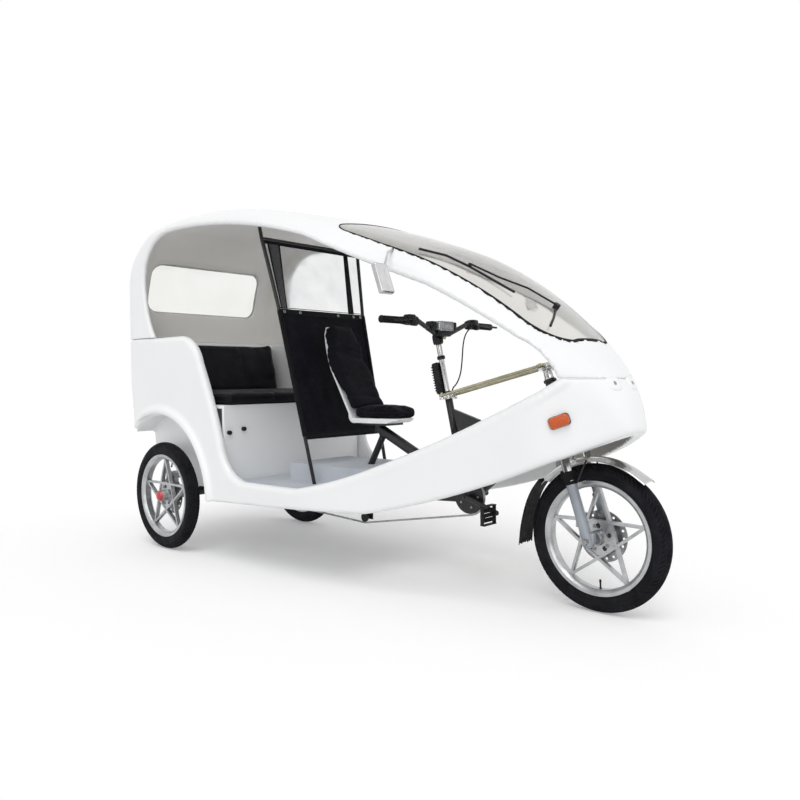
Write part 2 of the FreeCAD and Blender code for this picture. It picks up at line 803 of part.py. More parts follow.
# ---------------------------------------------------------------- wheels
def make_wheel(name, station, across, hub_length):
    """One cast wheel, its tyre and its brake disc.  The wheel turns about its own Y axis."""
    place = {"x": station, "y": "%s" % across, "z": "wheel_radius"}
    body = doc.addObject("PartDesign::Body", name + "_wheel_body")
    rim_half = size.rim_width / 2
    rim_floor = rim_half - size.rim_slope
    rim_side = size.rim_inner_radius + size.rim_slope
    rim_sketch = sketch_on(body, name + "_rim_section", "XY_Plane", loop([
        (size.rim_outer_radius, -rim_half), (size.rim_outer_radius, rim_half), (rim_side, rim_half),
        (size.rim_inner_radius, rim_floor), (size.rim_inner_radius, -rim_floor), (rim_side, -rim_half),
    ]))
    rim = body.newObject("PartDesign::Revolution", name + "_rim")
    rim.Profile = rim_sketch
    rim.ReferenceAxis = (rim_sketch, ["V_Axis"])
    rim.Angle = 360
    doc.recompute()
    hub_half = hub_length / 2
    bore = size.axle_radius + size.running_gap
    flange_half = size.flange_thickness / 2
    hub_section = loop([
        (bore, -hub_half), (size.hub_radius, -hub_half), (size.hub_radius, -flange_half),
        (size.flange_radius, -flange_half), (size.flange_radius, flange_half),
        (size.hub_radius, flange_half), (size.hub_radius, hub_half), (bore, hub_half),
    ])
    hub_sketch = sketch_on(body, name + "_hub_section", "XY_Plane", hub_section)
    inner = size.spoke_hub_shift / 3
    outer = (size.rim_inner_radius + size.rim_outer_radius) / 2
    half = size.spoke_width / 2
    for index, lean in enumerate((1, -1)):
        at_hub, at_rim = lean * size.spoke_hub_shift, -lean * size.spoke_rim_shift
        corners = [(at_hub - half, inner), (at_hub + half, inner), (at_rim + half, outer),
                   (at_rim - half, outer)]
        spoke_sketch = sketch_on(body, "%s_spoke_outline_%d" % (name, index), "XZ_Plane", loop(corners))
        spoke = body.newObject("PartDesign::Pad", "%s_spoke_%d" % (name, index))
        spoke.Profile = spoke_sketch
        spoke.Midplane = True
        bind(spoke, {"Length": "spoke_depth"})
        ring = body.newObject("PartDesign::PolarPattern", "%s_spokes_%d" % (name, index))
        ring.Originals = [spoke]
        ring.Axis = (rim_sketch, ["V_Axis"])
        ring.Angle = 360
        bind(ring, {"Occurrences": "spoke_count"})
        body.Tip = ring
        doc.recompute()
    hub = body.newObject("PartDesign::Revolution", name + "_hub")
    hub.Profile = hub_sketch
    hub.ReferenceAxis = (hub_sketch, ["V_Axis"])
    hub.Angle = 360
    body.Tip = hub
    doc.recompute()
    bore_sketch = sketch_on(body, name + "_bore_outline", "XZ_Plane",
                            [Part.Circle(Vector(0, 0, 0), Vector(0, 0, 1), bore)])
    bore_cut = body.newObject("PartDesign::Pocket", name + "_bore")
    bore_cut.Profile = bore_sketch
    bore_cut.Type = 1
    bore_cut.Midplane = True
    hole_sketch = sketch_on(body, name + "_flange_hole", "XZ_Plane", [
        Part.Circle(Vector(0, size.flange_hole_circle, 0), Vector(0, 0, 1), size.flange_hole_radius)])
    hole = body.newObject("PartDesign::Pocket", name + "_flange_cut")
    hole.Profile = hole_sketch
    hole.Type = 1
    hole.Midplane = True
    holes = body.newObject("PartDesign::PolarPattern", name + "_flange_holes")
    holes.Originals = [hole]
    holes.Axis = (rim_sketch, ["V_Axis"])
    holes.Angle = 360
    bind(holes, {"Occurrences": "spoke_count"})
    body.Tip = holes
    finish(body, name + "_wheel", **place)

    ring = add("Part::Torus", name + "_tyre_ring", {
        "Radius1": "wheel_radius - tyre_section_radius",
        "Radius2": "tyre_section_radius",
    }, Placement(Vector(), Rotation(Vector(1, 0, 0), 90)))
    seat = add("Part::Cylinder", name + "_tyre_seat", {"Radius": "rim_outer_radius", "Height": "rim_width * 2"},
               Placement(Vector(0, size.rim_width, 0), Rotation(Vector(1, 0, 0), 90)))
    finish(cut(name + "_tyre_body", ring, seat), name + "_tyre", **place)


def make_disc(name, station, across):
    """A brake disc with a ring of holes, bolted to the hub's end."""
    body = doc.addObject("PartDesign::Body", name + "_disc_body")
    outline = sketch_on(body, name + "_disc_outline", "XZ_Plane", [
        Part.Circle(Vector(0, 0, 0), Vector(0, 0, 1), size.disc_radius),
        Part.Circle(Vector(0, 0, 0), Vector(0, 0, 1), size.hub_radius),
    ])
    plate = body.newObject("PartDesign::Pad", name + "_disc_plate")
    plate.Profile = outline
    plate.Midplane = True
    bind(plate, {"Length": "disc_thickness"})
    hole_sketch = sketch_on(body, name + "_disc_hole", "XZ_Plane", [
        Part.Circle(Vector(size.disc_hole_circle, 0, 0), Vector(0, 0, 1), size.disc_hole_radius)])
    hole = body.newObject("PartDesign::Pocket", name + "_disc_cut")
    hole.Profile = hole_sketch
    hole.Type = 1
    hole.Midplane = True
    ring = body.newObject("PartDesign::PolarPattern", name + "_disc_holes")
    ring.Originals = [hole]
    ring.Axis = (outline, ["N_Axis"])
    ring.Angle = 360
    bind(ring, {"Occurrences": "disc_hole_count"})
    body.Tip = ring
    finish(body, name + "_brake_disc", x=station, y="%s" % across, z="wheel_radius")


def make_wheels():
    make_wheel("front", "wheelbase", "0", size.front_hub_length)
    make_disc("front", "wheelbase", "front_disc_inset")
    for side, sign in SIDES:
        name = "rear_" + side
        make_wheel(name, "0", "%d * rear_track / 2" % sign, size.rear_hub_length)
        make_disc(name, "0", "%d * (rear_track / 2 - rear_disc_inset)" % sign)


def caliper(name, centre, hub, bracket):
    """A brake caliper: a block slotted for the disc, with the bracket that carries it."""
    extent = Vector(size.caliper_length, size.caliper_width, size.caliper_height)
    housing = block(name + "_housing", centre - extent / 2, extent)
    whole = fuse(name + "_whole", [housing, bracket])
    half = Vector(0, size.disc_thickness / 2 + size.caliper_gap, 0)
    middle = Vector(hub.x, centre.y, hub.z)
    slot = rod(name + "_slot", middle - half, middle + half, "disc_radius + caliper_gap * 2")
    return cut(name + "_block", whole, slot)


def make_rear_calipers():
    blocks = []
    half = size.caliper_width / 2
    for side, sign in SIDES:
        across = sign * (size.rear_track / 2 - size.rear_disc_inset)
        hub = Vector(0, across, size.wheel_radius)
        centre = hub + Vector(-10, 0, size.caliper_rise)
        inboard, outboard = across - sign * (half + size.bracket_width), across - sign * half
        bracket = block("rear_bracket_" + side, (-30, min(inboard, outboard), size.wheel_radius),
                        (40, size.bracket_width, size.caliper_rise + 22))
        body = caliper("rear_caliper_" + side, centre, hub, bracket)
        tube = rod("rear_bracket_bore_" + side, Vector(0, -500, size.wheel_radius),
                   Vector(0, 500, size.wheel_radius), "axle_tube_radius")
        blocks.append(cut("rear_caliper_seat_" + side, body, tube))
    finish(compound("RearBrakeCalipers", blocks), "rear_brake_calipers")


# ---------------------------------------------------------------- partition behind the driver
# half-section of the partition behind the driver: station, half width and height of its bars
PARTITION_FOOT = (955, 258, size.floor_top + 2)
PARTITION_LOW = (900, 268, 632)
PARTITION_KNEE = (746, 295, 1269)
PARTITION_TOP = (668, 336, 1621)
PARTITION_ROOF = (644, 336, 1717)


def partition_tubes(name, gap=0):
    """The partition's two uprights, tube by tube from the foot, or the wider holes for them."""
    points = (PARTITION_FOOT, PARTITION_KNEE, PARTITION_TOP, PARTITION_ROOF)
    tubes = []
    for index, (low, high) in enumerate(zip(points, points[1:])):
        for side, sign in SIDES:
            start, end = [Vector(x, sign * y, z) for x, y, z in (low, high)]
            tubes.append(rod("%s_%d_%s" % (name, index, side), start, end, "partition_radius + %g" % gap))
    return tubes


def make_partition():
    tubes = partition_tubes("upright")
    for index, (x, y, z) in enumerate((PARTITION_LOW, PARTITION_KNEE, PARTITION_TOP)):
        tubes.append(rod("partition_bar_%d" % index, Vector(x, -y, z), Vector(x, y, z), "partition_radius"))
    for index, (x, y, z) in enumerate((PARTITION_KNEE, PARTITION_TOP)):
        for side, sign in SIDES:
            bend = Vector(x, sign * y, z)
            tubes.append(ball("partition_bend_%d_%s" % (index, side), bend, "partition_radius"))
    finish(fuse("PartitionFrame", tubes), "partition_frame")
    panel("PartitionFabric", "partition_fabric", PARTITION_LOW, PARTITION_KNEE, 4)
    panel("PartitionWindow", "partition_window", PARTITION_KNEE, PARTITION_TOP, 3)


def panel(name, label, low, high, thickness):
    """A flat sheet between two of the partition's bars, just clear of the tubes round it."""
    edge = size.partition_radius + size.soft_gap
    low_left, high_left = Vector(*low), Vector(*high)
    rise = (high_left - low_left).normalize()
    low_left += rise * edge
    high_left -= rise * edge
    corners = []
    for point, sign in ((low_left, -1), (low_left, 1), (high_left, 1), (high_left, -1)):
        corners.append(Vector(point.x, sign * (point.y - edge), point.z))
    face = Part.Face(Part.makePolygon(corners + corners[:1]))
    normal = face.normalAt(0, 0)
    solid = face.extrude(normal * thickness)
    solid.translate(normal * (-thickness / 2))
    finish(solid_feature(name, solid), label)


# ---------------------------------------------------------------- driver's seat
def seat_back(depth, start):
    """The seat back's side view at a depth in front of its rear face: foot, bend, bow and top."""
    lean, top_lean = math.radians(size.driver_back_lean), math.radians(size.driver_back_top_lean)
    up, out = (-math.sin(lean), math.cos(lean)), (math.cos(lean), math.sin(lean))
    foot = (size.driver_back_foot, size.driver_seat_height + 43)

    def run(length, away):
        return tuple(foot[k] + up[k] * length + out[k] * away for k in (0, 1))

    centre = run(size.driver_back_straight, size.driver_back_curve)

    def bow(angle):
        reach = size.driver_back_curve - depth
        return (centre[0] - reach * math.cos(angle), centre[1] - reach * math.sin(angle))

    return run(start, depth), bow(lean), bow((lean + top_lean) / 2), bow(top_lean)


def front_prism(outline):
    """A half outline of width and height, mirrored and drawn along the vehicle."""
    points = [Vector(0, -y, z) for y, z in outline] + [Vector(0, y, z) for y, z in reversed(outline)]
    return Part.Face(Part.makePolygon(points + points[:1])).extrude(Vector(2000, 0, 0))


def make_driver_seat():
    base, front = size.driver_seat_height, size.driver_pan_front
    pan_top = base + size.driver_pan_depth
    foot, bend, bow, top = seat_back(0, 0)
    inner_foot, inner_bend, inner_bow, inner_top = seat_back(size.driver_shell_wall, 0)
    shell = side_prism([
        (1085, base), (1270, base), (front, base + 18), (front - 6, pan_top), (1064, pan_top), inner_foot,
        inner_bend, (inner_bow, inner_top), top, (bow, bend), foot, ((1048, base + 11), (1085, base)),
    ], -150, 150)
    half = size.driver_pan_half_width
    taper = front - 158
    plan = [Vector(x, y, base - 50) for x, y in (
        (700, -half), (taper, -half), (front - 43, 28 - half), (front, 58 - half), (front, half - 58),
        (front - 43, half - 28), (taper, half), (700, half))]
    shell = shell.common(Part.Face(Part.makePolygon(plan + plan[:1])).extrude(Vector(0, 0, 700)))
    back_outline = [(half, base - 50), (half, 960), (half - 26, 1145), (half - 52, 1200)]
    shell = shell.common(front_prism(back_outline))
    finish(solid_feature("DriverSeatShell", shell), "driver_seat_shell")

    rear = size.driver_back_foot + 34
    reach = (front - 6 - rear) / 2
    middle = rear + reach
    corners = [(-reach, 3 - half), (taper - middle, 3 - half), (reach, 35 - half),
               (reach, half - 35), (taper - middle, half - 3), (-reach, half - 3)]
    rounded_pad("DriverSeatCushion", "driver_seat_cushion", corners, size.driver_pad_height, 16,
                middle, 0, pan_top + size.soft_gap)
    near = size.driver_shell_wall + size.soft_gap
    inner_foot, inner_bend, inner_bow, inner_top = seat_back(near, 8)
    foot, bend, bow, top = seat_back(near + size.driver_back_pad, 8)
    pad = side_prism([foot, bend, (bow, top), inner_top, (inner_bow, inner_bend)], -150, 150)
    pad = pad.common(front_prism([(y - 3, z) for y, z in back_outline]))
    finish(solid_feature("DriverBackCushion", pad), "driver_back_cushion")


# ---------------------------------------------------------------- steering
# corners of the brake cable's bow between the lever and the column: station, across and height
CABLE_BOW = [
    (1577, 200, 1162),
    (1581, 161, 1147),
    (1581, 127, 1116),
    (1587, 104, 1074),
    (1595, 88, 1028),
    (1602, 73, 978),
    (1607, 56, 932),
    (1604, 32, 889),
]


def make_column():
    stem = rod("stem_tube", on_column(-20), on_column(size.stem_top_length), "stem_radius")
    arm_at = size.column_tube_length + size.side_gap
    arm = steering_arm("column_arm", on_column(arm_at), COLUMN_UP)
    finish(fuse("SteeringStem", [stem] + arm), "steering_stem")
    top = on_column(size.stem_top_length - 6)
    bar = []
    rise = Vector(0, 0, size.bar_rise)
    for side, sign in SIDES:
        inner = top + Vector(30, sign * 60, 4)
        bend = top + Vector(36, sign * 170, 0) + rise
        end = Vector(1535, sign * size.bar_half_width, top.z + size.bar_rise)
        bar.append(rod("bar_inner_" + side, top, inner, "bar_radius"))
        bar.append(ball("bar_knee_" + side, inner, "bar_radius"))
        bar.append(rod("bar_rise_" + side, inner, bend, "bar_radius"))
        bar.append(ball("bar_bend_" + side, bend, "bar_radius"))
        bar.append(rod("bar_grip_" + side, bend, end, "bar_radius"))
    whole_bar = fuse("bar_tubes", bar)
    stem_space = rod("bar_stem_space", on_column(0), on_column(size.stem_top_length), "stem_radius")
    finish(cut("Handlebar", whole_bar, stem_space), "handlebar")

    grips, levers = [], []
    for side, sign in SIDES:
        bend = top + Vector(36, sign * 170, 0) + rise
        end = Vector(1535, sign * size.bar_half_width, top.z + size.bar_rise)
        along = (end - bend).normalize()
        start = end - along * size.grip_length
        grip = rod("grip_" + side, start, end + along * 4, "grip_radius")
        core = rod("grip_core_" + side, start - along * 5, end, "bar_radius")
        grips.append(cut("grip_sleeve_" + side, grip, core))
        mount = start - along * 14
        collar = rod("lever_collar_" + side, mount - along * 9, mount + along * 9, "grip_radius")
        collar_core = rod("lever_core_" + side, mount - along * 12, mount + along * 12, "bar_radius")
        root = mount + Vector(26, 0, 0)
        stub = rod("lever_stub_" + side, mount, root, "rod_radius")
        knuckle = ball("lever_knuckle_" + side, root, "rod_radius")
        blade = rod("lever_blade_" + side, root, mount + along * 115 + Vector(54, 0, -6), "rod_radius * 0.8")
        cable_end = root - along * size.cable_barrel
        barrel = rod("lever_barrel_" + side, root, cable_end, "rod_radius - 1")
        whole = fuse("lever_whole_" + side, [collar, stub, knuckle, blade, barrel])
        if side == "left":
            make_brake_cable(cable_end, arm_at)
        levers.append(cut("lever_" + side, whole, collar_core))
    finish(compound("HandlebarGrips", grips), "handlebar_grips")
    finish(compound("BrakeLevers", levers), "brake_levers")

    pod = block("pod_case", (top.x + 4, -55, top.z + 12), (60, 110, 44))
    pod_space = compound("pod_space", [
        rod("pod_stem", on_column(0), on_column(size.stem_top_length), "stem_radius"),
        rod("pod_bar_left", top, top + Vector(30, 60, 4), "bar_radius"),
        rod("pod_bar_right", top, top + Vector(30, -60, 4), "bar_radius"),
    ])
    finish(cut("InstrumentPod", pod, pod_space), "instrument_pod")

    box_at = on_column(255)
    box = add("Part::Box", "column_box_case")
    box.Length, box.Width, box.Height = 42, 52, 150
    tilt = Rotation(Vector(0, 1, 0), -size.column_rake)
    corner = box_at + tilt.multVec(Vector(-size.stem_radius - 38, -26, -75))
    box.Placement = Placement(corner, tilt)
    stem_cut = rod("column_box_stem", on_column(0), on_column(size.stem_top_length), "stem_radius")
    finish(cut("ColumnBox", box, stem_cut), "column_box")


def make_brake_cable(top, arm_at):
    """The front brake's cable, from the left lever in a bow down to the boss of the column's arm."""
    forward = Vector(COLUMN_UP.z, 0, -COLUMN_UP.x)
    foot = on_column(arm_at + size.arm_thickness) + forward * 18.5 + Vector(0, 8, 0)
    points = [top]
    for x, y, z in CABLE_BOW:
        points.append(Vector(x, y, z))
    points += [foot + COLUMN_UP * 34, foot]
    finish(bent_tube("BrakeCable", points, size.cable_radius), "brake_cable")


def steering_arm(name, centre, up):
    """A double arm across a steering axis with a pin at each end."""
    pieces = []
    side = Vector(0, size.arm_half_length, 0)
    thick = up * size.arm_thickness
    pieces.append(rod(name + "_boss", centre, centre + thick, "arm_radius + 10"))
    face = Part.Face(Part.makePolygon([
        centre - side + Vector(up.z, 0, -up.x) * 9, centre + side + Vector(up.z, 0, -up.x) * 9,
        centre + side - Vector(up.z, 0, -up.x) * 9, centre - side - Vector(up.z, 0, -up.x) * 9,
        centre - side + Vector(up.z, 0, -up.x) * 9]))
    pieces.append(solid_feature(name + "_plate", face.extrude(thick)))
    for label, sign in SIDES:
        end = centre + side * sign
        pieces.append(rod("%s_eye_%s" % (name, label), end, end + thick, "arm_radius"))
        pieces.append(rod("%s_pin_%s" % (name, label), end, end + thick + up * size.rod_pin_height,
                          "rod_pin_radius"))
    return pieces


def make_steering_rods():
    """Two rods side by side: each turns on the column's pin and takes the fork's pin in a wider eye."""
    column_at = size.column_tube_length + size.side_gap + size.arm_thickness
    start_height = size.rod_pin_height / 2
    for side, sign in SIDES:
        across = Vector(0, sign * size.arm_half_length, 0)
        start = on_column(column_at) + COLUMN_UP * start_height + across
        end = HEAD + FORK_UP * (size.fork_arm_rise + size.arm_thickness + start_height) + across
        eye_half = size.rod_radius
        along = (end - start).normalize()
        eye = rod("rod_eye_" + side, start - COLUMN_UP * eye_half, start + COLUMN_UP * eye_half, "arm_radius")
        far_eye = rod("rod_far_eye_" + side, end - FORK_UP * eye_half, end + FORK_UP * eye_half,
                      "arm_radius + 4")
        bar = rod("rod_bar_" + side, start, end, "rod_radius")
        whole = fuse("rod_whole_" + side, [eye, far_eye, bar])
        holes = compound("rod_holes_" + side, [
            rod("rod_hole_" + side, start - COLUMN_UP * 20, start + COLUMN_UP * 20,
                "rod_pin_radius + running_gap"),
            rod("rod_far_hole_" + side, end - FORK_UP * 20, end + FORK_UP * 20, "rod_pin_radius + 6"),
        ])
        finish(cut("SteeringRod" + side, whole, holes), "steering_rod_" + side)


def make_fork():
    crown_at = size.head_tube_length + size.crown_gap
    axle = Vector(size.wheelbase, 0, size.wheel_radius)
    leg_length = (HEAD - axle).dot(FORK_UP) - crown_at + 8
    leg_top = axle + FORK_UP * leg_length
    crown_centre = below_head(crown_at + size.crown_thickness / 2)
    arm_at = HEAD + FORK_UP * size.fork_arm_rise
    steerer = rod("steerer_tube", below_head(crown_at + 4), arm_at + FORK_UP * 30, "steerer_radius")
    boss = rod("crown_boss", below_head(crown_at + size.crown_thickness), below_head(crown_at),
               "steerer_radius + 12")
    wide = 2 * size.fork_leg_spacing + 2 * size.fork_leg_radius + 12
    plate = block("crown_plate", (0, 0, 0), (64, wide, size.crown_thickness))
    tilt = Rotation(Vector(0, 1, 0), -size.fork_rake)
    corner = crown_centre + tilt.multVec(Vector(-24, -wide / 2, -size.crown_thickness / 2))
    plate.Placement = Placement(corner, tilt)
    arm = steering_arm("fork_arm", arm_at, FORK_UP)
    crown = fuse("crown_whole", [steerer, boss, plate] + arm)
    legs, sockets = [], []
    for side, sign in SIDES:
        across = Vector(0, sign * size.fork_leg_spacing, 0)
        sockets.append(rod("crown_socket_" + side, axle + across, leg_top + across, "fork_leg_radius"))
        leg = rod("leg_" + side, axle + across - FORK_UP * 24, leg_top + across, "fork_leg_radius")
        legs.append(leg)
    finish(cut("ForkCrown", crown, compound("crown_sockets", sockets)), "fork_crown")
    shaft = rod("front_axle", axle - Vector(0, size.fork_leg_spacing + 26, 0),
                axle + Vector(0, size.fork_leg_spacing + 26, 0), "axle_radius")
    finish(fuse("ForkLegs", legs + [shaft]), "fork_legs")

    fender_path = ring_sector(axle, size.fender_radius, size.fender_thickness, 48, 141)
    fender = side_prism(fender_path, -size.fender_half_width, size.fender_half_width)
    fender = solid_feature("fender_sheet", fender)
    bracket = rod("fender_bracket", crown_centre - FORK_UP * (size.crown_thickness / 2),
                  axle + (crown_centre - axle).normalize() * (size.fender_radius + 1), "rod_radius")
    finish(fuse("FrontFender", [fender, bracket]), "front_fender")
    inner, outer = size.fender_radius + size.fender_thickness, size.fender_radius + size.fender_thickness + 4
    hem_station, hem_height = axle.x - 337, axle.z - 72
    flap = side_prism([
        on_wheel(axle, inner, 138), on_wheel(axle, outer, 138),
        (on_wheel(axle, outer, 153), on_wheel(axle, outer, 168)), (hem_station, hem_height),
        (hem_station + 4, hem_height - 1), on_wheel(axle, inner, 168),
        (on_wheel(axle, inner, 153), on_wheel(axle, inner, 138)),
    ], -size.flap_half_width, size.flap_half_width)
    finish(solid_feature("MudFlap", flap), "mud_flap")

    centre = axle + Vector(-88, size.front_disc_inset, 54)
    near_leg = axle + Vector(0, size.fork_leg_spacing, 0) + FORK_UP * 40
    bracket = rod("front_bracket", centre + Vector(0, size.caliper_width / 2 - 6, 0), near_leg,
                  "rod_radius + 2")
    body = caliper("front_caliper", centre, axle, bracket)
    leg_space = rod("front_bracket_leg", near_leg - FORK_UP * 60, near_leg + FORK_UP * 60, "fork_leg_radius")
    finish(cut("FrontCaliper", body, leg_space), "front_brake_caliper")


def on_wheel(centre, reach, angle):
    """A side-view point at a reach and an angle in degrees about a wheel's centre."""
    turn = math.radians(angle)
    return (centre.x + reach * math.cos(turn), centre.z + reach * math.sin(turn))


def ring_sector(centre, radius, thickness, low, high):
    """The side-view path of a curved strip about a centre between two angles in degrees."""
    middle = (low + high) / 2
    outer = radius + thickness
    return [on_wheel(centre, radius, low), on_wheel(centre, outer, low),
            (on_wheel(centre, outer, middle), on_wheel(centre, outer, high)),
            on_wheel(centre, radius, high), (on_wheel(centre, radius, middle), on_wheel(centre, radius, low))]


# ---------------------------------------------------------------- pedal drive
def make_drive():
    half = size.crank_shell_length / 2
    turn = math.radians(size.crank_angle)
    reach = Vector(math.cos(turn), 0, math.sin(turn)) * size.crank_length
    spindle = rod("spindle", CRANK - Vector(0, half + size.crank_gap, 0),
                  CRANK + Vector(0, half + size.crank_gap, 0), "crank_radius")
    ring = rod("chainring", CRANK - Vector(0, size.chain_line + 2, 0),
               CRANK - Vector(0, size.chain_line - 2, 0), "chainring_radius")
    pieces = [spindle, ring]
    for side, sign in SIDES:
        foot = CRANK + Vector(0, sign * (half + size.crank_gap), 0)
        end = foot - reach * sign
        pieces.append(rod("crank_arm_" + side, foot, end, "crank_radius + 2"))
        pieces.append(ball("crank_eye_" + side, end, "crank_radius + 2"))
        pieces.append(ball("crank_boss_" + side, foot, "crank_radius + 4"))
        pedal_end = end + Vector(0, sign * size.pedal_reach, 0)
        pieces.append(rod("pedal_pin_" + side, end, pedal_end, "rod_pin_radius"))
    finish(fuse("Crankset", pieces), "crankset")
    for side, sign in SIDES:
        foot = CRANK + Vector(0, sign * (half + size.crank_gap), 0)
        end = foot - reach * sign
        near = end.y + sign * (size.crank_radius + 4)
        low_side, high_side = sorted((near, near + sign * size.pedal_length))
        plate = block("pedal_plate_" + side,
                      (end.x - size.pedal_thickness / 2, low_side, end.z - size.pedal_width / 2),
                      (size.pedal_thickness, high_side - low_side, size.pedal_width))
        hole = rod("pedal_hole_" + side, Vector(end.x, low_side - 5, end.z),
                   Vector(end.x, high_side + 5, end.z), "rod_pin_radius + running_gap")
        finish(cut("Pedal" + side, plate, hole), "pedal_" + side)


def tangent(first, first_radius, second, second_radius, sign):
    """The two touching points of a straight run along one side of two circles."""
    run = Vector(second[0] - first[0], 0, second[1] - first[1])
    angle = math.atan2(run.z, run.x)
    lean = math.acos((first_radius - second_radius) / run.Length)
    turn = angle + sign * lean
    way = (math.cos(turn), math.sin(turn))
    return [(first[0] + first_radius * way[0], first[1] + first_radius * way[1]),
            (second[0] + second_radius * way[0], second[1] + second_radius * way[1])]


def make_chain():
    """The chain, one flat loop: round the chainring, under both idlers and round the axle's sprocket."""
    ring = (size.crank_station, size.crank_height)
    idler = (size.idler_station, size.idler_height)
    guide = (size.guide_station, size.guide_height)
    rear = (0.0, size.wheel_radius)

    def loop_face(extra):
        ring_reach = size.chainring_radius + 0.5 + extra
        idler_reach = size.idler_radius + 0.3 + extra
        guide_reach = size.idler_radius + 0.3 + size.chain_depth - extra
        rear_reach = size.sprocket_radius + extra
        low_front = tangent(ring, ring_reach, idler, idler_reach, 1)
        low_rear = tangent(idler, idler_reach, rear, rear_reach, 1)
        top_front = tangent(ring, ring_reach, guide, -guide_reach, -1)
        top_rear = tangent(guide, -guide_reach, rear, rear_reach, -1)
        nose_point = (ring[0] + ring_reach, ring[1])
        tail_point = (rear[0] - rear_reach, rear[1])
        idler_low = (idler[0], idler[1] - idler_reach)
        guide_low = (guide[0], guide[1] - guide_reach)
        path = [top_front[0], (nose_point, low_front[0]), low_front[1], (idler_low, low_rear[0]), low_rear[1],
                (tail_point, top_rear[1]), top_rear[0], (guide_low, top_front[1])]
        half = size.chain_width / 2
        return side_prism(path, -size.chain_line - half, -size.chain_line + half)

    chain = loop_face(size.chain_depth).cut(loop_face(0))
    finish(solid_feature("Chain", chain), "chain")

    pieces = []
    for name, (station, height) in (("idler", idler), ("guide", guide)):
        far = Vector(station, -size.chain_line - 5, height)
        near = Vector(station, -size.chain_line + 5, height)
        pieces.append(rod(name + "_roller", far, near, "idler_radius"))
        pieces.append(rod(name + "_pin", far, Vector(station, -12, height), "rod_radius"))
    corner = (idler[0] - 12, -22, idler[1] - 12)
    plate = (guide[0] - idler[0] + 24, 8, RAIL_HEIGHT - idler[1] + 12)
    pieces.append(block("idler_plate", corner, plate))
    beam = rod("idler_beam", Vector(900, 0, RAIL_HEIGHT), Vector(1250, 0, RAIL_HEIGHT), "rail_radius")
    finish(cut("ChainIdlers", fuse("idler_whole", pieces), beam), "chain_idlers")


# ---------------------------------------------------------------- lamps, mirrors and wiper
# the mirror's stalk from its root on the roof rail to the middle of its case
MIRROR_STALK = [
    (AXLE_FRONT - 726, 376, 1450), (AXLE_FRONT - 688, 452, 1424), (AXLE_FRONT - 656, 500, 1378),
    (AXLE_FRONT - 643, 530, 1330),
]
MIRROR_CASE = (AXLE_FRONT - 643, 530, 1307)
# wiper, from above: the blade's rear end, its joint with the arm and its front end; the arm's pivot
BLADE = [
    (AXLE_FRONT - 636, -320), (AXLE_FRONT - 530, -276), (AXLE_FRONT - 440, -242), (AXLE_FRONT - 348, -218),
    (AXLE_FRONT - 259, -194),
]
ARM = [
    (AXLE_FRONT - 440, -242), (AXLE_FRONT - 351, -172), (AXLE_FRONT - 262, -101), (AXLE_FRONT - 173, -31),
]
LINK = [(AXLE_FRONT - 173, -31), (AXLE_FRONT - 133, -112), (AXLE_FRONT - 100, -194)]


def make_fittings():
    """Lamps, mirrors and the wiper, each seated on the shell's outer face."""
    shell = hull(0)
    outside = solid_feature("shell_outside", shell)
    lamps, mirrors = [], []
    for side, sign in SIDES:
        extent = Vector(78, 46, 44)
        lamp = block("lamp_block_" + side, (0, 0, 0), extent)
        turn = Rotation(Vector(0, 0, 1), -sign * 25) * Rotation(Vector(0, 1, 0), -20)
        corner = Vector(AXLE_FRONT - 20, sign * 266, 755) - turn.multVec(extent / 2)
        lamp.Placement = Placement(corner, turn)
        doc.recompute()
        lens = doc.addObject("Part::Fillet", "lamp_lens_" + side)
        lens.Base = lamp
        lens.Edges = [(index + 1, 16, 16) for index in range(len(lamp.Shape.Edges))]
        lamps.append(cut("lamp_cap_" + side, lens, outside))

        lean = Rotation(Vector(0, 1, 0), -20)
        x, y, z = MIRROR_CASE
        case = block("mirror_case_" + side, (0, 0, 0), (26, 75, 128))
        case.Placement = Placement(Vector(x, sign * y, z) - lean.multVec(Vector(13, 37.5, 64)), lean)
        doc.recompute()
        shaped = doc.addObject("Part::Fillet", "mirror_shape_" + side)
        shaped.Base = case
        shaped.Edges = [(index + 1, 9, 9) for index in range(len(case.Shape.Edges))]
        stalk = [Vector(x, sign * y, z) for x, y, z in MIRROR_STALK]
        whole = fuse("mirror_whole_" + side,
                     [shaped] + chained_rods("mirror_stalk_" + side, stalk, "rod_pin_radius"))
        mirrors.append(cut("mirror_" + side, whole, outside))
    finish(compound("SideIndicators", lamps), "side_indicators")
    finish(compound("Mirrors", mirrors), "mirrors")
    make_wiper(shell, outside)


def chained_rods(name, points, radius):
    """Round bars from point to point, with a ball in each bend."""
    pieces = []
    for index, (start, end) in enumerate(zip(points, points[1:])):
        pieces.append(rod("%s_%d" % (name, index), start, end, radius))
        if index:
            pieces.append(ball("%s_bend_%d" % (name, index), start, radius))
    return pieces


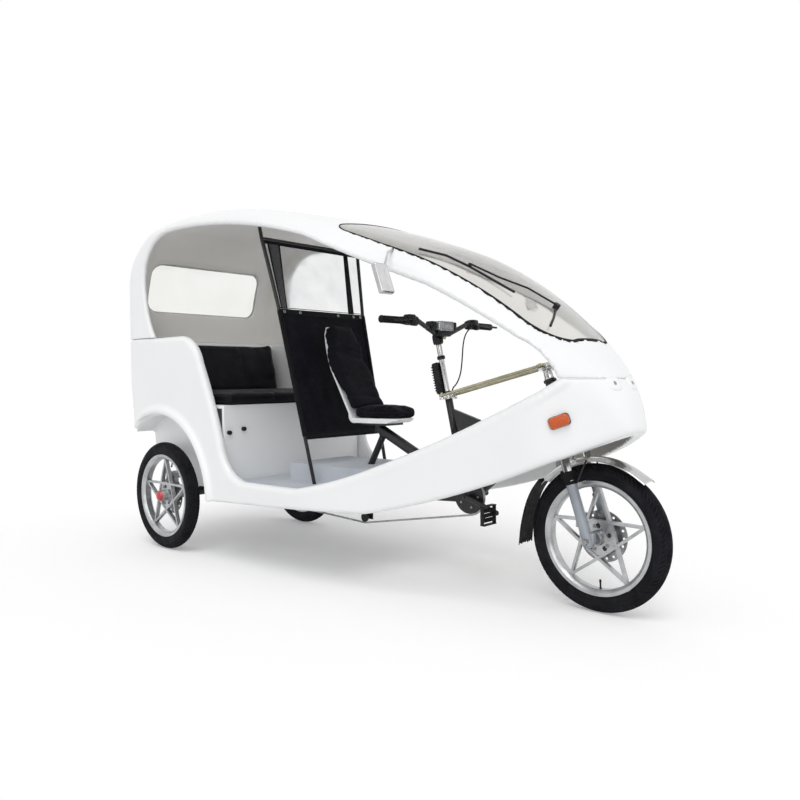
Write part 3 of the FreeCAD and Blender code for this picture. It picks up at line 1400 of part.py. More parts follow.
def make_wiper(shell, outside):
    """The wiper parked along the windscreen: blade, arm, pivot and the pivot's link."""
    def height(x, y):
        probe = Part.makeLine(Vector(x, y, size.shell_foot), Vector(x, y, 3000))
        return max(vertex.Z for vertex in probe.common(shell).Vertexes)

    def over_shell(place, lift):
        """A point that stands off the shell's outer face, square to it."""
        x, y = place
        here = height(x, y)
        square = Vector(here - height(x + 1, y), here - height(x, y + 1), 1).normalize()
        return Vector(x, y, here) + square * lift

    blade = [over_shell(place, size.blade_radius + size.glass_gap) for place in BLADE]
    arm = [over_shell(place, size.arm_lift) for place in ARM]
    link = [over_shell(place, size.wiper_link_radius + size.glass_gap) for place in LINK]
    pieces = chained_rods("wiper_blade", blade, "blade_radius")
    pieces += chained_rods("wiper_arm", arm, "wiper_arm_radius")
    pieces += chained_rods("wiper_link", link, "wiper_link_radius")
    pieces.append(rod("wiper_joint", blade[2] - Vector(0, 0, 2), arm[0] + Vector(0, 0, 3),
                      "wiper_link_radius + 3"))
    foot, top = over_shell(ARM[-1], -10), over_shell(ARM[-1], size.arm_lift + 6)
    pieces.append(rod("wiper_pivot", foot, top, "wiper_pivot_radius"))
    finish(cut("Wiper", fuse("wiper_whole", pieces), outside), "wiper")


def write_parts():
    doc.recompute()
    faults = [thing.Name for thing in doc.Objects if "Invalid" in thing.State or "Error" in thing.State]
    if faults:
        raise RuntimeError("failed objects: " + ", ".join(faults))
    for thing in SUBPARTS:
        if thing.Shape.isNull() or not thing.Shape.isValid() or not thing.Shape.Solids:
            raise RuntimeError("bad shape: " + thing.Label)
    os.makedirs("parts", exist_ok=True)
    for thing in SUBPARTS:
        thing.Shape.exportStep("parts/%s.step" % thing.Label)
        volume = thing.Shape.Volume / 1000
        print("%-22s solids %d volume %.1f cm3" % (thing.Label, len(thing.Shape.Solids), volume))


make_shells()
make_floor()
make_seat_box()
make_bench()
make_frame()
make_rear_axle()
make_wheels()
make_rear_calipers()
make_partition()
make_driver_seat()
make_column()
make_steering_rods()
make_fork()
make_drive()
make_chain()
make_fittings()
write_parts()
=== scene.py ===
"""A three-wheeled cycle rickshaw: the finish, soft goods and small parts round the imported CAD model."""
import json
import math

import bmesh
import bpy
from mathutils import Matrix, Vector, noise
from mathutils.bvhtree import BVHTree


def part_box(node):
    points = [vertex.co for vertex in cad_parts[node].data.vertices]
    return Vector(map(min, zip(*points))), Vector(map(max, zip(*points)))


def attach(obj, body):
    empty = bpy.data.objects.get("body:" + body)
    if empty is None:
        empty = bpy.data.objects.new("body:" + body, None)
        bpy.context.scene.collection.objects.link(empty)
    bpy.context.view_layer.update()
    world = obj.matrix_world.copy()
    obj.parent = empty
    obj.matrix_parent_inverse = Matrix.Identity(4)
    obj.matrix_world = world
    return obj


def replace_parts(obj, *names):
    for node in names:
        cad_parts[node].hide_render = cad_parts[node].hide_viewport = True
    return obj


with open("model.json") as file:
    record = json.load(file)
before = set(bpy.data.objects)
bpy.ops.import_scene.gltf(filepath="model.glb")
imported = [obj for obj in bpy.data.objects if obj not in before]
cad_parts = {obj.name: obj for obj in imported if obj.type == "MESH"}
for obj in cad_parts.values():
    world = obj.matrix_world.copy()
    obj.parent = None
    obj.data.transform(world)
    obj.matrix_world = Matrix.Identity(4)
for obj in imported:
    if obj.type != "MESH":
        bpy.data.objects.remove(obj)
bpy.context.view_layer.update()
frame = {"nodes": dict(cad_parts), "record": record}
SCENE = bpy.context.scene
UP = Vector((0, 0, 1))
SIGNS = (1, -1)
SIDES = (("left", 1), ("right", -1))


# ---------------------------------------------------------------- places read from the frame
def corners(node):
    """The low and the high corner of a node's box."""
    return [Vector(corner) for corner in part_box(node)]


def middle(node):
    return sum(corners(node), Vector()) / 2


AXLE_X = middle("rear_left_wheel").x


def at(station, across, height):
    """A place from its distance in front of the rear axle, in the frame's metres."""
    return Vector((station + AXLE_X, across, height))


def aside(across):
    return Vector((0, across, 0))


def circle(turn):
    """A direction in the side view from its angle above the forward direction."""
    return Vector((math.cos(turn), 0, math.sin(turn)))


def turns(count, shift=0.0):
    """Equal angles round a circle."""
    return [2 * math.pi * (step + shift) / count for step in range(count)]


# ---------------------------------------------------------------- camera, lamps, floor
CAMERA_PLACE = (2.563, -2.670, 0.914)
CAMERA_TURN, CAMERA_LIFT, CAMERA_ROLL = (math.radians(angle) for angle in (41.93, 1.61, -0.51))
SENSOR_WIDTH, LENS = 36, 33.65
WHITE = (1, 1, 1, 1)
AMBIENT, BACKDROP, FLOOR_GLOW = 0.58, 1.0, 0.20
FLOOR_REACH = 60
# columns: name, the direction that it shines from, its width in degrees and its power
LAMPS = [
    ("key_lamp", (0.55, -0.75, 1.6), 35, 1.0),
    ("front_lamp", (0.62, -0.85, 0.34), 45, 0.55),
    ("fill_lamp", (0.9, 0.5, 0.7), 60, 0.25),
]


def look():
    flat = math.cos(CAMERA_LIFT)
    back = Vector((math.sin(CAMERA_TURN) * flat, -math.cos(CAMERA_TURN) * flat, math.sin(CAMERA_LIFT)))
    right = Vector((math.cos(CAMERA_TURN), math.sin(CAMERA_TURN), 0))
    up = back.cross(right)
    rolled_right = right * math.cos(CAMERA_ROLL) + up * math.sin(CAMERA_ROLL)
    rolled_up = up * math.cos(CAMERA_ROLL) - right * math.sin(CAMERA_ROLL)
    data = bpy.data.cameras.new("camera")
    data.sensor_width = SENSOR_WIDTH
    data.lens = LENS
    camera = new_object("camera", data)
    axes = Matrix((rolled_right, rolled_up, back)).transposed().to_4x4()
    camera.matrix_world = Matrix.Translation(CAMERA_PLACE) @ axes
    SCENE.camera = camera


def add_node(tree, kind, inputs=None, **fields):
    """A shader node with its fields, and with its inputs given as values or as other nodes' outputs."""
    node = tree.nodes.new("ShaderNode" + kind)
    for field, value in fields.items():
        setattr(node, field, value)
    for socket, value in (inputs or {}).items():
        if isinstance(value, bpy.types.NodeSocket):
            tree.links.new(value, node.inputs[socket])
        else:
            node.inputs[socket].default_value = value
    return node


def studio():
    SCENE.view_settings.view_transform = "Standard"
    world = bpy.data.worlds.new("studio")
    SCENE.world = world
    world.use_nodes = True
    tree = world.node_tree
    tree.nodes.clear()
    ambient = add_node(tree, "Background", {"Color": WHITE, "Strength": AMBIENT})
    backdrop = add_node(tree, "Background", {"Color": WHITE, "Strength": BACKDROP})
    mix = add_node(tree, "MixShader", {"Fac": seen_rays(tree), 1: ambient.outputs[0], 2: backdrop.outputs[0]})
    add_node(tree, "OutputWorld", {"Surface": mix.outputs[0]})

    for name, way, spread, power in LAMPS:
        data = bpy.data.lights.new(name, "SUN")
        data.angle = math.radians(spread)
        data.energy = power
        new_object(name, data).rotation_euler = Vector(way).to_track_quat("Z", "Y").to_euler()

    floor = new_object("studio_floor", bpy.data.meshes.new("studio_floor"))
    floor.data.from_pydata([(x * FLOOR_REACH, y * FLOOR_REACH, 0) for x, y in ((-1, -1), (1, -1), (1, 1), (-1, 1))],
                           [], [(0, 1, 2, 3)])
    pale = Finish("studio_floor", Base_Color=(0.86, 0.86, 0.86, 1), Roughness=0.9, Specular_IOR_Level=0.0,
                  Emission_Color=WHITE)
    pale.give("Emission Strength", pale.math("MULTIPLY", seen_rays(pale.tree), FLOOR_GLOW))
    floor.data.materials.append(pale.mat)


def seen_rays(tree):
    """One where a ray comes straight from the camera, a mirror or a glass."""
    path = add_node(tree, "LightPath").outputs
    seen = path["Is Camera Ray"]
    for kind in ("Glossy", "Transmission"):
        seen = add_node(tree, "Math", {0: seen, 1: path["Is %s Ray" % kind]}, operation="MAXIMUM").outputs[0]
    return seen


# ---------------------------------------------------------------- materials
class Finish:
    """A procedural material built up step by step on a Principled shader."""

    def __init__(self, name, **sockets):
        self.mat = bpy.data.materials.new(name)
        self.mat.use_nodes = True
        self.tree = self.mat.node_tree
        self.shader = self.tree.nodes["Principled BSDF"]
        self.place = add_node(self.tree, "TexCoord").outputs["Object"]
        for key, value in sockets.items():
            self.shader.inputs[key.replace("_", " ")].default_value = value

    def give(self, socket, value):
        self.tree.links.new(value, self.shader.inputs[socket])

    def noise(self, scale, detail, rough):
        return add_node(self.tree, "TexNoise", {"Vector": self.place, "Scale": scale, "Detail": detail,
                                                "Roughness": rough}).outputs["Fac"]

    def waves(self, scale, axis, shape):
        return add_node(self.tree, "TexWave", {"Vector": self.place, "Scale": scale}, bands_direction=axis,
                        wave_profile=shape).outputs["Fac"]

    def math(self, operation, first, second):
        return add_node(self.tree, "Math", {0: first, 1: second}, operation=operation).outputs[0]

    def colour(self, pattern, dark, light):
        ramp = add_node(self.tree, "ValToRGB", {"Fac": pattern})
        for end, position, tone in zip(ramp.color_ramp.elements, MIDDLE_RANGE, (dark, light)):
            end.position = position
            end.color = (*tone, 1)
        self.give("Base Color", ramp.outputs["Color"])

    def gloss(self, pattern, low, high):
        """Roughness between two values, over the pattern's middle range."""
        start, end = MIDDLE_RANGE
        self.give("Roughness", add_node(self.tree, "MapRange", {
            "Value": pattern, "From Min": start, "From Max": end, "To Min": low, "To Max": high}).outputs[0])

    def relief(self, pattern, height, strength):
        self.give("Normal", add_node(self.tree, "Bump", {"Height": pattern, "Distance": height,
                                                         "Strength": strength}).outputs[0])


MIDDLE_RANGE = (0.3, 0.7)


def grain(scale, detail, rough=0.55):
    return lambda finish: finish.noise(scale, detail, rough)


def ridges(scale, axis, shape="SIN"):
    return lambda finish: finish.waves(scale, axis, shape)


def woven(scale, axes, operation, specks):
    """Two crossing sets of ridges with fine grain on them."""
    return lambda finish: finish.math(
        "ADD", finish.math(operation, *(finish.waves(scale, axis, "SIN") for axis in axes)),
        finish.noise(specks, 2, 0.55))


# columns: pattern, dark and light colour; pattern and range of the roughness; pattern, height and strength of
# the relief; the shader's other values
FINISHES = {
    "white_shell": (grain(2.2, 4), (0.85, 0.862, 0.87), (0.885, 0.893, 0.898), grain(30, 4), (0.30, 0.42),
                    (grain(260, 2), 0.0006, 0.10), dict(Coat_Weight=0.25, Coat_Roughness=0.22)),
    # painted light: the cabin's inside faces, which are the shell's own white, take this warmer, lighter white in
    # place of the light inside the cabin
    "warm_white_painted_light": (grain(3.5, 4), (0.89, 0.875, 0.845), (0.93, 0.915, 0.885), grain(25, 4), (0.48, 0.62),
                    (grain(420, 3), 0.0008, 0.25), {}),
    "clear_glass": (grain(2.5, 2), (0.68, 0.67, 0.64), (0.76, 0.75, 0.72), grain(5, 4), (0.02, 0.06), None,
                    dict(Transmission_Weight=1.0, IOR=1.45, Specular_IOR_Level=0.5)),
    "clear_film": (grain(7, 3), (0.78, 0.79, 0.80), (0.90, 0.90, 0.90), grain(12, 5), (0.06, 0.26),
                   (grain(9, 3), 0.010, 0.35), dict(Transmission_Weight=1.0, IOR=1.2, Specular_IOR_Level=0.6)),
    "window_pane": (grain(3, 2), (0.84, 0.84, 0.81), (0.90, 0.90, 0.88), grain(6, 4), (0.03, 0.12), None,
                    dict(Transmission_Weight=1.0, IOR=1.4, Specular_IOR_Level=0.5)),
    "grey_floor": (grain(6, 4), (0.60, 0.61, 0.61), (0.68, 0.69, 0.69), grain(40, 3), (0.5, 0.65),
                   (grain(300, 2), 0.0006, 0.2), {}),
    "grey_mat": (grain(5, 5), (0.47, 0.50, 0.55), (0.57, 0.60, 0.65), grain(20, 3), (0.55, 0.75),
                 (woven(55, "XY", "MULTIPLY", 400), 0.0012, 0.5), {}),
    "black_fabric": (grain(9, 4), (0.003, 0.003, 0.006), (0.008, 0.008, 0.013), grain(60, 3), (0.62, 0.85),
                     (woven(520, "YZ", "MAXIMUM", 700), 0.0006, 0.45),
                     dict(Sheen_Weight=0.02, Sheen_Roughness=0.5, Specular_IOR_Level=0.08)),
    "black_leather": (grain(12, 4), (0.004, 0.004, 0.006), (0.010, 0.010, 0.013), grain(90, 3), (0.42, 0.60),
                      (grain(330, 4, 0.7), 0.0012, 0.5), dict(Specular_IOR_Level=0.10)),
    "black_binding": (grain(80, 3), (0.003, 0.003, 0.004), (0.009, 0.009, 0.011), grain(120, 2), (0.55, 0.75),
                      (ridges(700, "DIAGONAL"), 0.0005, 0.5), dict(Sheen_Weight=0.02, Specular_IOR_Level=0.10)),
    "grey_webbing": (grain(60, 3), (0.022, 0.023, 0.027), (0.048, 0.049, 0.053), grain(90, 2), (0.5, 0.7),
                     (ridges(600, "Z"), 0.0006, 0.5), dict(Sheen_Weight=0.2)),
    "black_paint": (grain(8, 5), (0.005, 0.005, 0.006), (0.013, 0.013, 0.015), grain(70, 4), (0.28, 0.45),
                    (grain(500, 2), 0.0003, 0.2),
                    dict(Coat_Weight=0.25, Coat_Roughness=0.15, Specular_IOR_Level=0.35)),
    "black_plastic": (grain(25, 4), (0.005, 0.005, 0.006), (0.015, 0.015, 0.017), grain(150, 3), (0.35, 0.55),
                      (grain(900, 2), 0.0004, 0.35), dict(Specular_IOR_Level=0.25)),
    "black_rubber": (grain(18, 5), (0.005, 0.005, 0.005), (0.013, 0.013, 0.014), grain(50, 4), (0.55, 0.8),
                     (grain(600, 3), 0.0005, 0.35), dict(Specular_IOR_Level=0.15)),
    "tyre": (grain(14, 6), (0.005, 0.005, 0.007), (0.016, 0.016, 0.020), grain(40, 5), (0.55, 0.82),
             (grain(450, 3), 0.0006, 0.4), dict(Specular_IOR_Level=0.10)),
    "silver_plastic": (grain(30, 4), (0.30, 0.31, 0.33), (0.55, 0.56, 0.58), grain(90, 3), (0.22, 0.4),
                       (grain(600, 2), 0.0003, 0.2), dict(Metallic=0.6)),
    "cast_alloy": (grain(16, 5), (0.33, 0.34, 0.35), (0.52, 0.53, 0.54), grain(60, 4), (0.26, 0.42),
                   (grain(500, 4), 0.0005, 0.35), dict(Metallic=0.85)),
    "fork_alloy": (grain(10, 4), (0.24, 0.265, 0.30), (0.33, 0.355, 0.39), grain(40, 3), (0.32, 0.45),
                   (grain(700, 2), 0.0003, 0.25), dict(Metallic=0.5)),
    "chrome": (grain(6, 4), (0.42, 0.42, 0.43), (0.66, 0.66, 0.66), grain(35, 5), (0.06, 0.20), None,
               dict(Metallic=1.0)),
    "steel": (grain(22, 5), (0.22, 0.22, 0.23), (0.42, 0.42, 0.43), grain(80, 4), (0.28, 0.5),
              (grain(600, 3), 0.0003, 0.25), dict(Metallic=0.9)),
    "zinc": (grain(20, 5), (0.36, 0.34, 0.22), (0.58, 0.55, 0.40), grain(70, 4), (0.3, 0.5),
             (ridges(95, "X"), 0.0012, 0.6), dict(Metallic=0.75)),
    "amber_lens": (ridges(120, "Z", "TRI"), (0.36, 0.040, 0.002), (0.80, 0.135, 0.006), grain(60, 3), (0.10, 0.22),
                   (ridges(120, "Z", "TRI"), 0.0010, 0.6),
                   dict(Coat_Weight=0.4, Coat_Roughness=0.05, Specular_IOR_Level=0.3)),
    # painted shade: the inside of the nose, the shell's own white, takes this darker brownish grey where shade falls
    "nose_painted_shade": (grain(5, 4), (0.36, 0.345, 0.325), (0.46, 0.445, 0.42), grain(25, 4), (0.5, 0.7),
                    (grain(90, 4), 0.0015, 0.3), {}),
    "red_cap": (grain(25, 4), (0.42, 0.010, 0.016), (0.62, 0.022, 0.028), grain(60, 3), (0.25, 0.4), None,
                dict(Coat_Weight=0.5, Coat_Roughness=0.12)),
    "mirror_glass": (grain(3, 2), (0.80, 0.81, 0.82), (0.86, 0.87, 0.88), grain(20, 3), (0.01, 0.05), None,
                     dict(Metallic=1.0)),
}


def make_material(name):
    tone, dark, light, wear, roughness, relief, values = FINISHES[name]
    finish = Finish(name, **values)
    finish.colour(tone(finish), dark, light)
    finish.gloss(wear(finish), *roughness)
    if relief:
        pattern, height, strength = relief
        finish.relief(pattern(finish), height, strength)
    return finish.mat


MATERIALS = {name: make_material(name) for name in FINISHES}


# ---------------------------------------------------------------- building pieces
def dress(obj, body, finish, smooth=35):
    """Gives a piece its material, its smoothing and the body that it rides on."""
    obj.data.materials.clear()
    obj.data.materials.append(MATERIALS[finish])
    obj.data.shade_smooth()
    obj.data.set_sharp_from_angle(angle=math.radians(smooth))
    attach(obj, body)
    return obj


def new_object(name, data):
    obj = bpy.data.objects.new(name, data)
    SCENE.collection.objects.link(obj)
    return obj


def bake(obj):
    """Applies an object's modifiers."""
    shape = obj.evaluated_get(bpy.context.evaluated_depsgraph_get())
    mesh = bpy.data.meshes.new_from_object(shape)
    obj.modifiers.clear()
    obj.data = mesh
    return obj


def modify(obj, kind, **fields):
    """Adds a modifier, sets its fields and applies it."""
    step = obj.modifiers.new(kind.lower(), kind)
    for field, value in fields.items():
        setattr(step, field, value)
    return bake(obj)


def arc(first, via, last, steps):
    """Points on the circle through three points of a plane, without the first."""
    a, b, c = (Vector((*point, 0)) for point in (first, via, last))
    ab, ac = b - a, c - a
    normal = ab.cross(ac)
    centre = a + (normal.cross(ab) * ac.length_squared + ac.cross(normal) * ab.length_squared) \
        / (2 * normal.length_squared)
    normal.normalize()
    x_axis = a - centre
    y_axis = normal.cross(x_axis)
    out = c - centre
    sweep = math.atan2(out.dot(y_axis), out.dot(x_axis)) % (2 * math.pi)
    points = []
    for step in range(1, steps + 1):
        turn = sweep * step / steps
        points.append(centre + x_axis * math.cos(turn) + y_axis * math.sin(turn))
    return [tuple(point)[:2] for point in points]


def trace(path, steps=16):
    """A closed outline in a plane: each step is a point, or a pair (via, end) for an arc."""
    points = [path[0]]
    for step in path[1:]:
        if isinstance(step[0], tuple):
            points += arc(points[-1], *step, steps)
        else:
            points.append(step)
    return points


def divided(outline, spacing):
    """A closed outline with points added along its longer runs."""
    points = []
    for start, end in zip(outline, outline[1:] + outline[:1]):
        parts = max(1, round(math.dist(start, end) / spacing))
        points += [tuple(a + (b - a) * part / parts for a, b in zip(start, end)) for part in range(parts)]
    return points


def mm(*numbers):
    """Pairs of numbers in millimetres as points in metres."""
    return [(a / 1000, b / 1000) for a, b in zip(numbers[::2], numbers[1::2])]


class Shape:
    """A piece under construction, made of grids, tubes, lathed forms and blocks."""

    def __init__(self):
        self.bm = bmesh.new()

    def net(self, rows, round_rows=False, round_columns=False):
        """Faces between rows of points; gives back the rows' vertices."""
        verts = [[self.bm.verts.new(p) for p in row] for row in rows]
        tall, wide = len(verts), len(verts[0])
        for i in range(tall if round_rows else tall - 1):
            for j in range(wide if round_columns else wide - 1):
                a, b = verts[i], verts[(i + 1) % tall]
                self.bm.faces.new((a[j], a[(j + 1) % wide], b[(j + 1) % wide], b[j]))
        return verts

    def grid(self, rows, round_rows=False, round_columns=False, cap=False):
        verts = self.net(rows, round_rows, round_columns)
        if cap:
            self.bm.faces.new(reversed(verts[0]))
            self.bm.faces.new(verts[-1])
        return self

    def tube(self, path, radius, sides=12):
        """A round bar along points; radius may be one number or one for each point."""
        path = [Vector(p) for p in path]
        radii = radius if isinstance(radius, list) else [radius] * len(path)
        ways = [(b - a).normalized() for a, b in zip(path, path[1:])]
        normal = ways[0].orthogonal().normalized()
        rows = []
        for point, reach, before, after in zip(path, radii, ways[:1] + ways, ways + ways[-1:]):
            way = (before + after).normalized()
            normal = (normal - way * normal.dot(way)).normalized()
            side = way.cross(normal)
            rows.append([point + (normal * math.cos(turn) + side * math.sin(turn)) * reach for turn in turns(sides)])
        return self.grid(rows, round_columns=True, cap=True)

    def lathe(self, centre, axis, profile, sides=48, closed=False):
        """A turned form: the profile is (radius, distance along the axis)."""
        centre, axis = Vector(centre), Vector(axis).normalized()
        normal = axis.orthogonal().normalized()
        side = axis.cross(normal)
        rows = []
        for turn in turns(sides):
            out = normal * math.cos(turn) + side * math.sin(turn)
            rows.append([centre + out * radius + axis * along for radius, along in profile])
        verts = self.net(rows, round_rows=True, round_columns=closed)
        if not closed:
            self.bm.faces.new([row[0] for row in reversed(verts)])
            self.bm.faces.new([row[-1] for row in verts])
        bmesh.ops.remove_doubles(self.bm, verts=self.bm.verts, dist=1e-6)
        return self

    def block(self, centre, extent, bevel=0.002, segments=2, turn=Matrix.Identity(3)):
        made = bmesh.ops.create_cube(self.bm, size=1)["verts"]
        matrix = Matrix.Translation(centre) @ turn.to_4x4() @ Matrix.Diagonal((*extent, 1))
        bmesh.ops.transform(self.bm, matrix=matrix, verts=made)
        edges = list(dict.fromkeys(edge for vert in made for edge in vert.link_edges))
        bmesh.ops.bevel(self.bm, geom=edges, offset=bevel, segments=segments, affect="EDGES", profile=0.5,
                        clamp_overlap=True)
        return self

    def prism(self, outline, place, low, high):
        """A flat outline drawn out from low to high; place turns (u, v, depth) into a point."""
        rows = [[place(u, v, depth) for u, v in outline] for depth in (low, high)]
        return self.grid(rows, round_columns=True, cap=True)

    def object(self, name):
        bmesh.ops.recalc_face_normals(self.bm, faces=self.bm.faces)
        mesh = bpy.data.meshes.new(name)
        self.bm.to_mesh(mesh)
        self.bm.free()
        return new_object(name, mesh)

    def done(self, name, body, finish, slot=None, smooth=35):
        return dress(self.object(name), body, finish, smooth)


def across_body(station, height, depth):
    """Places a side-view outline, drawn out across the vehicle."""
    return at(station, depth, height)


def down_body(station, across, depth):
    """Places a plan-view outline, drawn out upwards."""
    return at(station, across, depth)


def along_body(across, height, depth):
    """Places a rear-view outline, drawn out along the vehicle."""
    return at(depth, across, height)


def combine(target, tool, operation):
    """Cuts, joins or shares two closed meshes."""
    modify(target, "BOOLEAN", object=tool, operation=operation, solver="MANIFOLD")
    bpy.data.objects.remove(tool)
    return target


# ---------------------------------------------------------------- cabin shells
HALF = 0.525
FOOT = 0.25
# columns: station, half width, height, depth of the shoulder's curve, half width and rise of the crown
SECTIONS = [
    (-0.370, HALF - 0.095, 1.370, 0.080, 0.330, 0.005),
    (-0.345, HALF - 0.035, 1.465, 0.090, 0.380, 0.008),
    (-0.270, HALF, 1.634, 0.098, 0.400, 0.010),
    (-0.130, HALF, 1.750, 0.098, 0.420, 0.012),
    (0.150, HALF, 1.792, 0.085, 0.410, 0.014),
    (0.700, HALF, 1.768, 0.115, 0.400, 0.018),
    (1.200, HALF - 0.010, 1.650, 0.140, 0.330, 0.022),
    (1.500, HALF - 0.060, 1.553, 0.170, 0.260, 0.025),
    (1.800, 0.395, 1.432, 0.175, 0.200, 0.022),
    (2.060, 0.345, 1.264, 0.165, 0.160, 0.020),
    (2.240, 0.298, 1.110, 0.150, 0.130, 0.018),
    (2.360, 0.222, 0.987, 0.130, 0.100, 0.015),
    (2.450, 0.128, 0.847, 0.100, 0.060, 0.010),
    (2.500, 0.052, 0.690, 0.040, 0.025, 0.004),
]
REAR_SEAM, FRONT_SEAM, SEAM_SPLIT, SEAM_GAP = 1.150, 0.910, 1.200, 0.001
# how far the cutting forms reach past the cabin: backwards and to each side, forwards, and up
BEYOND, BEYOND_NOSE, BEYOND_ROOF = 0.9, 2.7, 2.2
OPENING = [
    (-0.050, REAR_SEAM), ((-0.140, 1.363), (-0.140, 1.540)), ((-0.060, 1.645), (0.120, 1.705)),
    ((0.663, 1.665), (1.175, 1.545)), ((1.500, 1.400), (1.770, 1.288)), ((1.990, 1.165), (2.150, 1.062)),
    ((2.240, 0.995), (2.290, FRONT_SEAM)), (2.220, 0.861), ((1.870, 0.690), (1.500, 0.537)),
    ((1.330, 0.480), (1.100, 0.427)), (0.760, 0.425), ((0.622, 0.470), (0.555, 0.570)),
    ((0.468, 0.815), (0.376, 1.010)), ((0.322, 1.100), (0.200, REAR_SEAM)),
]
UNDERSIDE = [
    (-BEYOND, 0.625), (-0.205, 0.625), (-0.205, 0.470), (0, 0.470), (0, 0.304), (0.400, 0.304), (1.490, 0.350),
    ((1.830, 0.437), (2.190, 0.570)), (2.330, 0.630), (2.500, 0.712), (2.600, 0.712), (2.600, 0), (-BEYOND, 0),
]
TAIL = [(-0.370, REAR_SEAM), (-0.318, 0.930), (-0.272, 0.640), (-0.260, 0.400), (-BEYOND, 0.400),
        (-BEYOND, REAR_SEAM)]
SCREEN = [
    (1.250, -0.320), ((1.230, 0), (1.250, 0.320)), ((1.279, 0.381), (1.350, 0.402)),
    ((1.750, 0.341), (2.135, 0.268)), ((2.243, 0.207), (2.284, 0.090)), ((2.291, 0), (2.284, -0.090)),
    ((2.243, -0.207), (2.135, -0.268)), ((1.750, -0.341), (1.350, -0.402)), ((1.279, -0.381), (1.250, -0.320)),
]
SCREEN_LOW, SCREEN_HIGH, WINDOW_BACK, WINDOW_FRONT = 0.9, 2.0, -0.6, 0.2
WINDOW_HALF, WINDOW_FOOT, WINDOW_TOP, WINDOW_CORNER = 0.385, 1.320, 1.600, 0.070
UPPER_WALL, LOWER_WALL = 0.028, 0.050
WHEEL_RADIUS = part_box("rear_left_tyre")[1][2] / 2
ARCH_RADIUS, ARCH_LIP, WELL_INNER, WELL_OUTER, WELL_WALL = 0.440, 0.030, 0.392, 0.62, 0.008
FLARE_FROM, FLARE_TO, FLARE_STEPS, FLARE_HALF = -14, 122, 60, ARCH_LIP * 0.8
WELL_FROM, WELL_SWEEP, WELL_STEPS, WELL_CORE, WELL_EDGE, WELL_ROUND = -12, 214, 48, 0.05, HALF - 0.02, 0.012
# the well's liner is kept inside this outline, clear of the tail and the underside
WELL_REACH = [(-0.263, 0.47), (-0.31, 0.9), (0.6, 0.9), (0.6, 0.345), (0, 0.345), (0, 0.47)]
SHELL_CELL = 0.0086
GLASS_SKIN, GLASS_BACK = 0.0015, 0.0055


def inset(depth):
    """The section table moved inwards by a wall, square to the side-view outline."""
    rows = []
    for index, (station, half, top, drop, flat, rise) in enumerate(SECTIONS):
        before, after = SECTIONS[max(index - 1, 0)], SECTIONS[min(index + 1, len(SECTIONS) - 1)]
        run = Vector((after[0] - before[0], after[2] - before[2])).normalized()
        if index == 0:
            run = Vector((0, 1))
        rows.append((station + depth * run.y, half - depth, top - depth * run.x, drop, flat - depth / 3, rise))
    return rows


def smooth_rows(rows, spacing=0.03):
    """Rows of numbers joined by a smooth curve through each."""
    knots = [0.0]
    for a, b in zip(rows, rows[1:]):
        knots.append(knots[-1] + math.dist(a[:3], b[:3]))
    secants = [[(q - p) / (t - s) for p, q in zip(a, b)]
               for a, b, s, t in zip(rows, rows[1:], knots, knots[1:])]
    slopes = [secants[0]]
    for i in range(1, len(rows) - 1):
        before, after = knots[i] - knots[i - 1], knots[i + 1] - knots[i]
        slopes.append([(p * after + q * before) / (before + after) for p, q in zip(secants[i - 1], secants[i])])
    slopes.append(secants[-1])
    made = [rows[0]]
    for i, (a, b) in enumerate(zip(rows, rows[1:])):
        span = knots[i + 1] - knots[i]
        steps = max(3, math.ceil(span / spacing))
        for step in range(1, steps + 1):
            t = step / steps
            h = (2 * t**3 - 3 * t**2 + 1, t**3 - 2 * t**2 + t, 3 * t**2 - 2 * t**3, t**3 - t**2)
            made.append(tuple(h[0] * p + h[1] * span * m + h[2] * q + h[3] * span * n
                              for p, q, m, n in zip(a, b, slopes[i], slopes[i + 1])))
    return made


def section_ring(station, half, top, drop, flat, rise, sides=14, rounds=12, crowns=14):
    """One upright section of the cabin, from the left foot over the roof to the right foot."""
    shoulder, edge = top - drop, top - rise
    height = edge - shoulder
    points = [(half, FOOT + (shoulder - FOOT) * i / sides) for i in range(sides)]
    pulls = ((half, shoulder), (half, shoulder + 0.6 * height),
             (flat + 0.55 * (half - flat), edge - rise * 0.6), (flat, edge))
    for i in range(rounds):
        t = i / rounds
        weights = ((1 - t)**3, 3 * t * (1 - t)**2, 3 * t * t * (1 - t), t**3)
        points.append(tuple(sum(w * pull[k] for w, pull in zip(weights, pulls)) for k in (0, 1)))
    for i in range(crowns):
        share = 1 - i / crowns
        points.append((flat * share, top - rise * share**2))
    return [at(station, y, z) for y, z in points] + [at(station, 0, top)] \
        + [at(station, -y, z) for y, z in reversed(points)]


def hull(depth):
    """The cabin's outer form, moved inwards by a depth, as a closed mesh."""
    rings = [section_ring(*row) for row in smooth_rows(inset(depth))]
    return Shape().grid(rings, round_columns=True, cap=True).object("hull")


def prism(outline, place=across_body, low=-BEYOND, high=BEYOND):
    return Shape().prism(outline, place, low, high).object("tool")


def seam_region(gap):
    """Everything above the two seams."""
    return prism([(-BEYOND, REAR_SEAM + gap), (SEAM_SPLIT, REAR_SEAM + gap), (SEAM_SPLIT, FRONT_SEAM + gap),
                  (BEYOND_NOSE, FRONT_SEAM + gap), (BEYOND_NOSE, BEYOND_ROOF), (-BEYOND, BEYOND_ROOF)])


def opening_prism():
    return prism(trace(OPENING, 24))


def screen_prism():
    return prism(trace(SCREEN), down_body, SCREEN_LOW, SCREEN_HIGH)


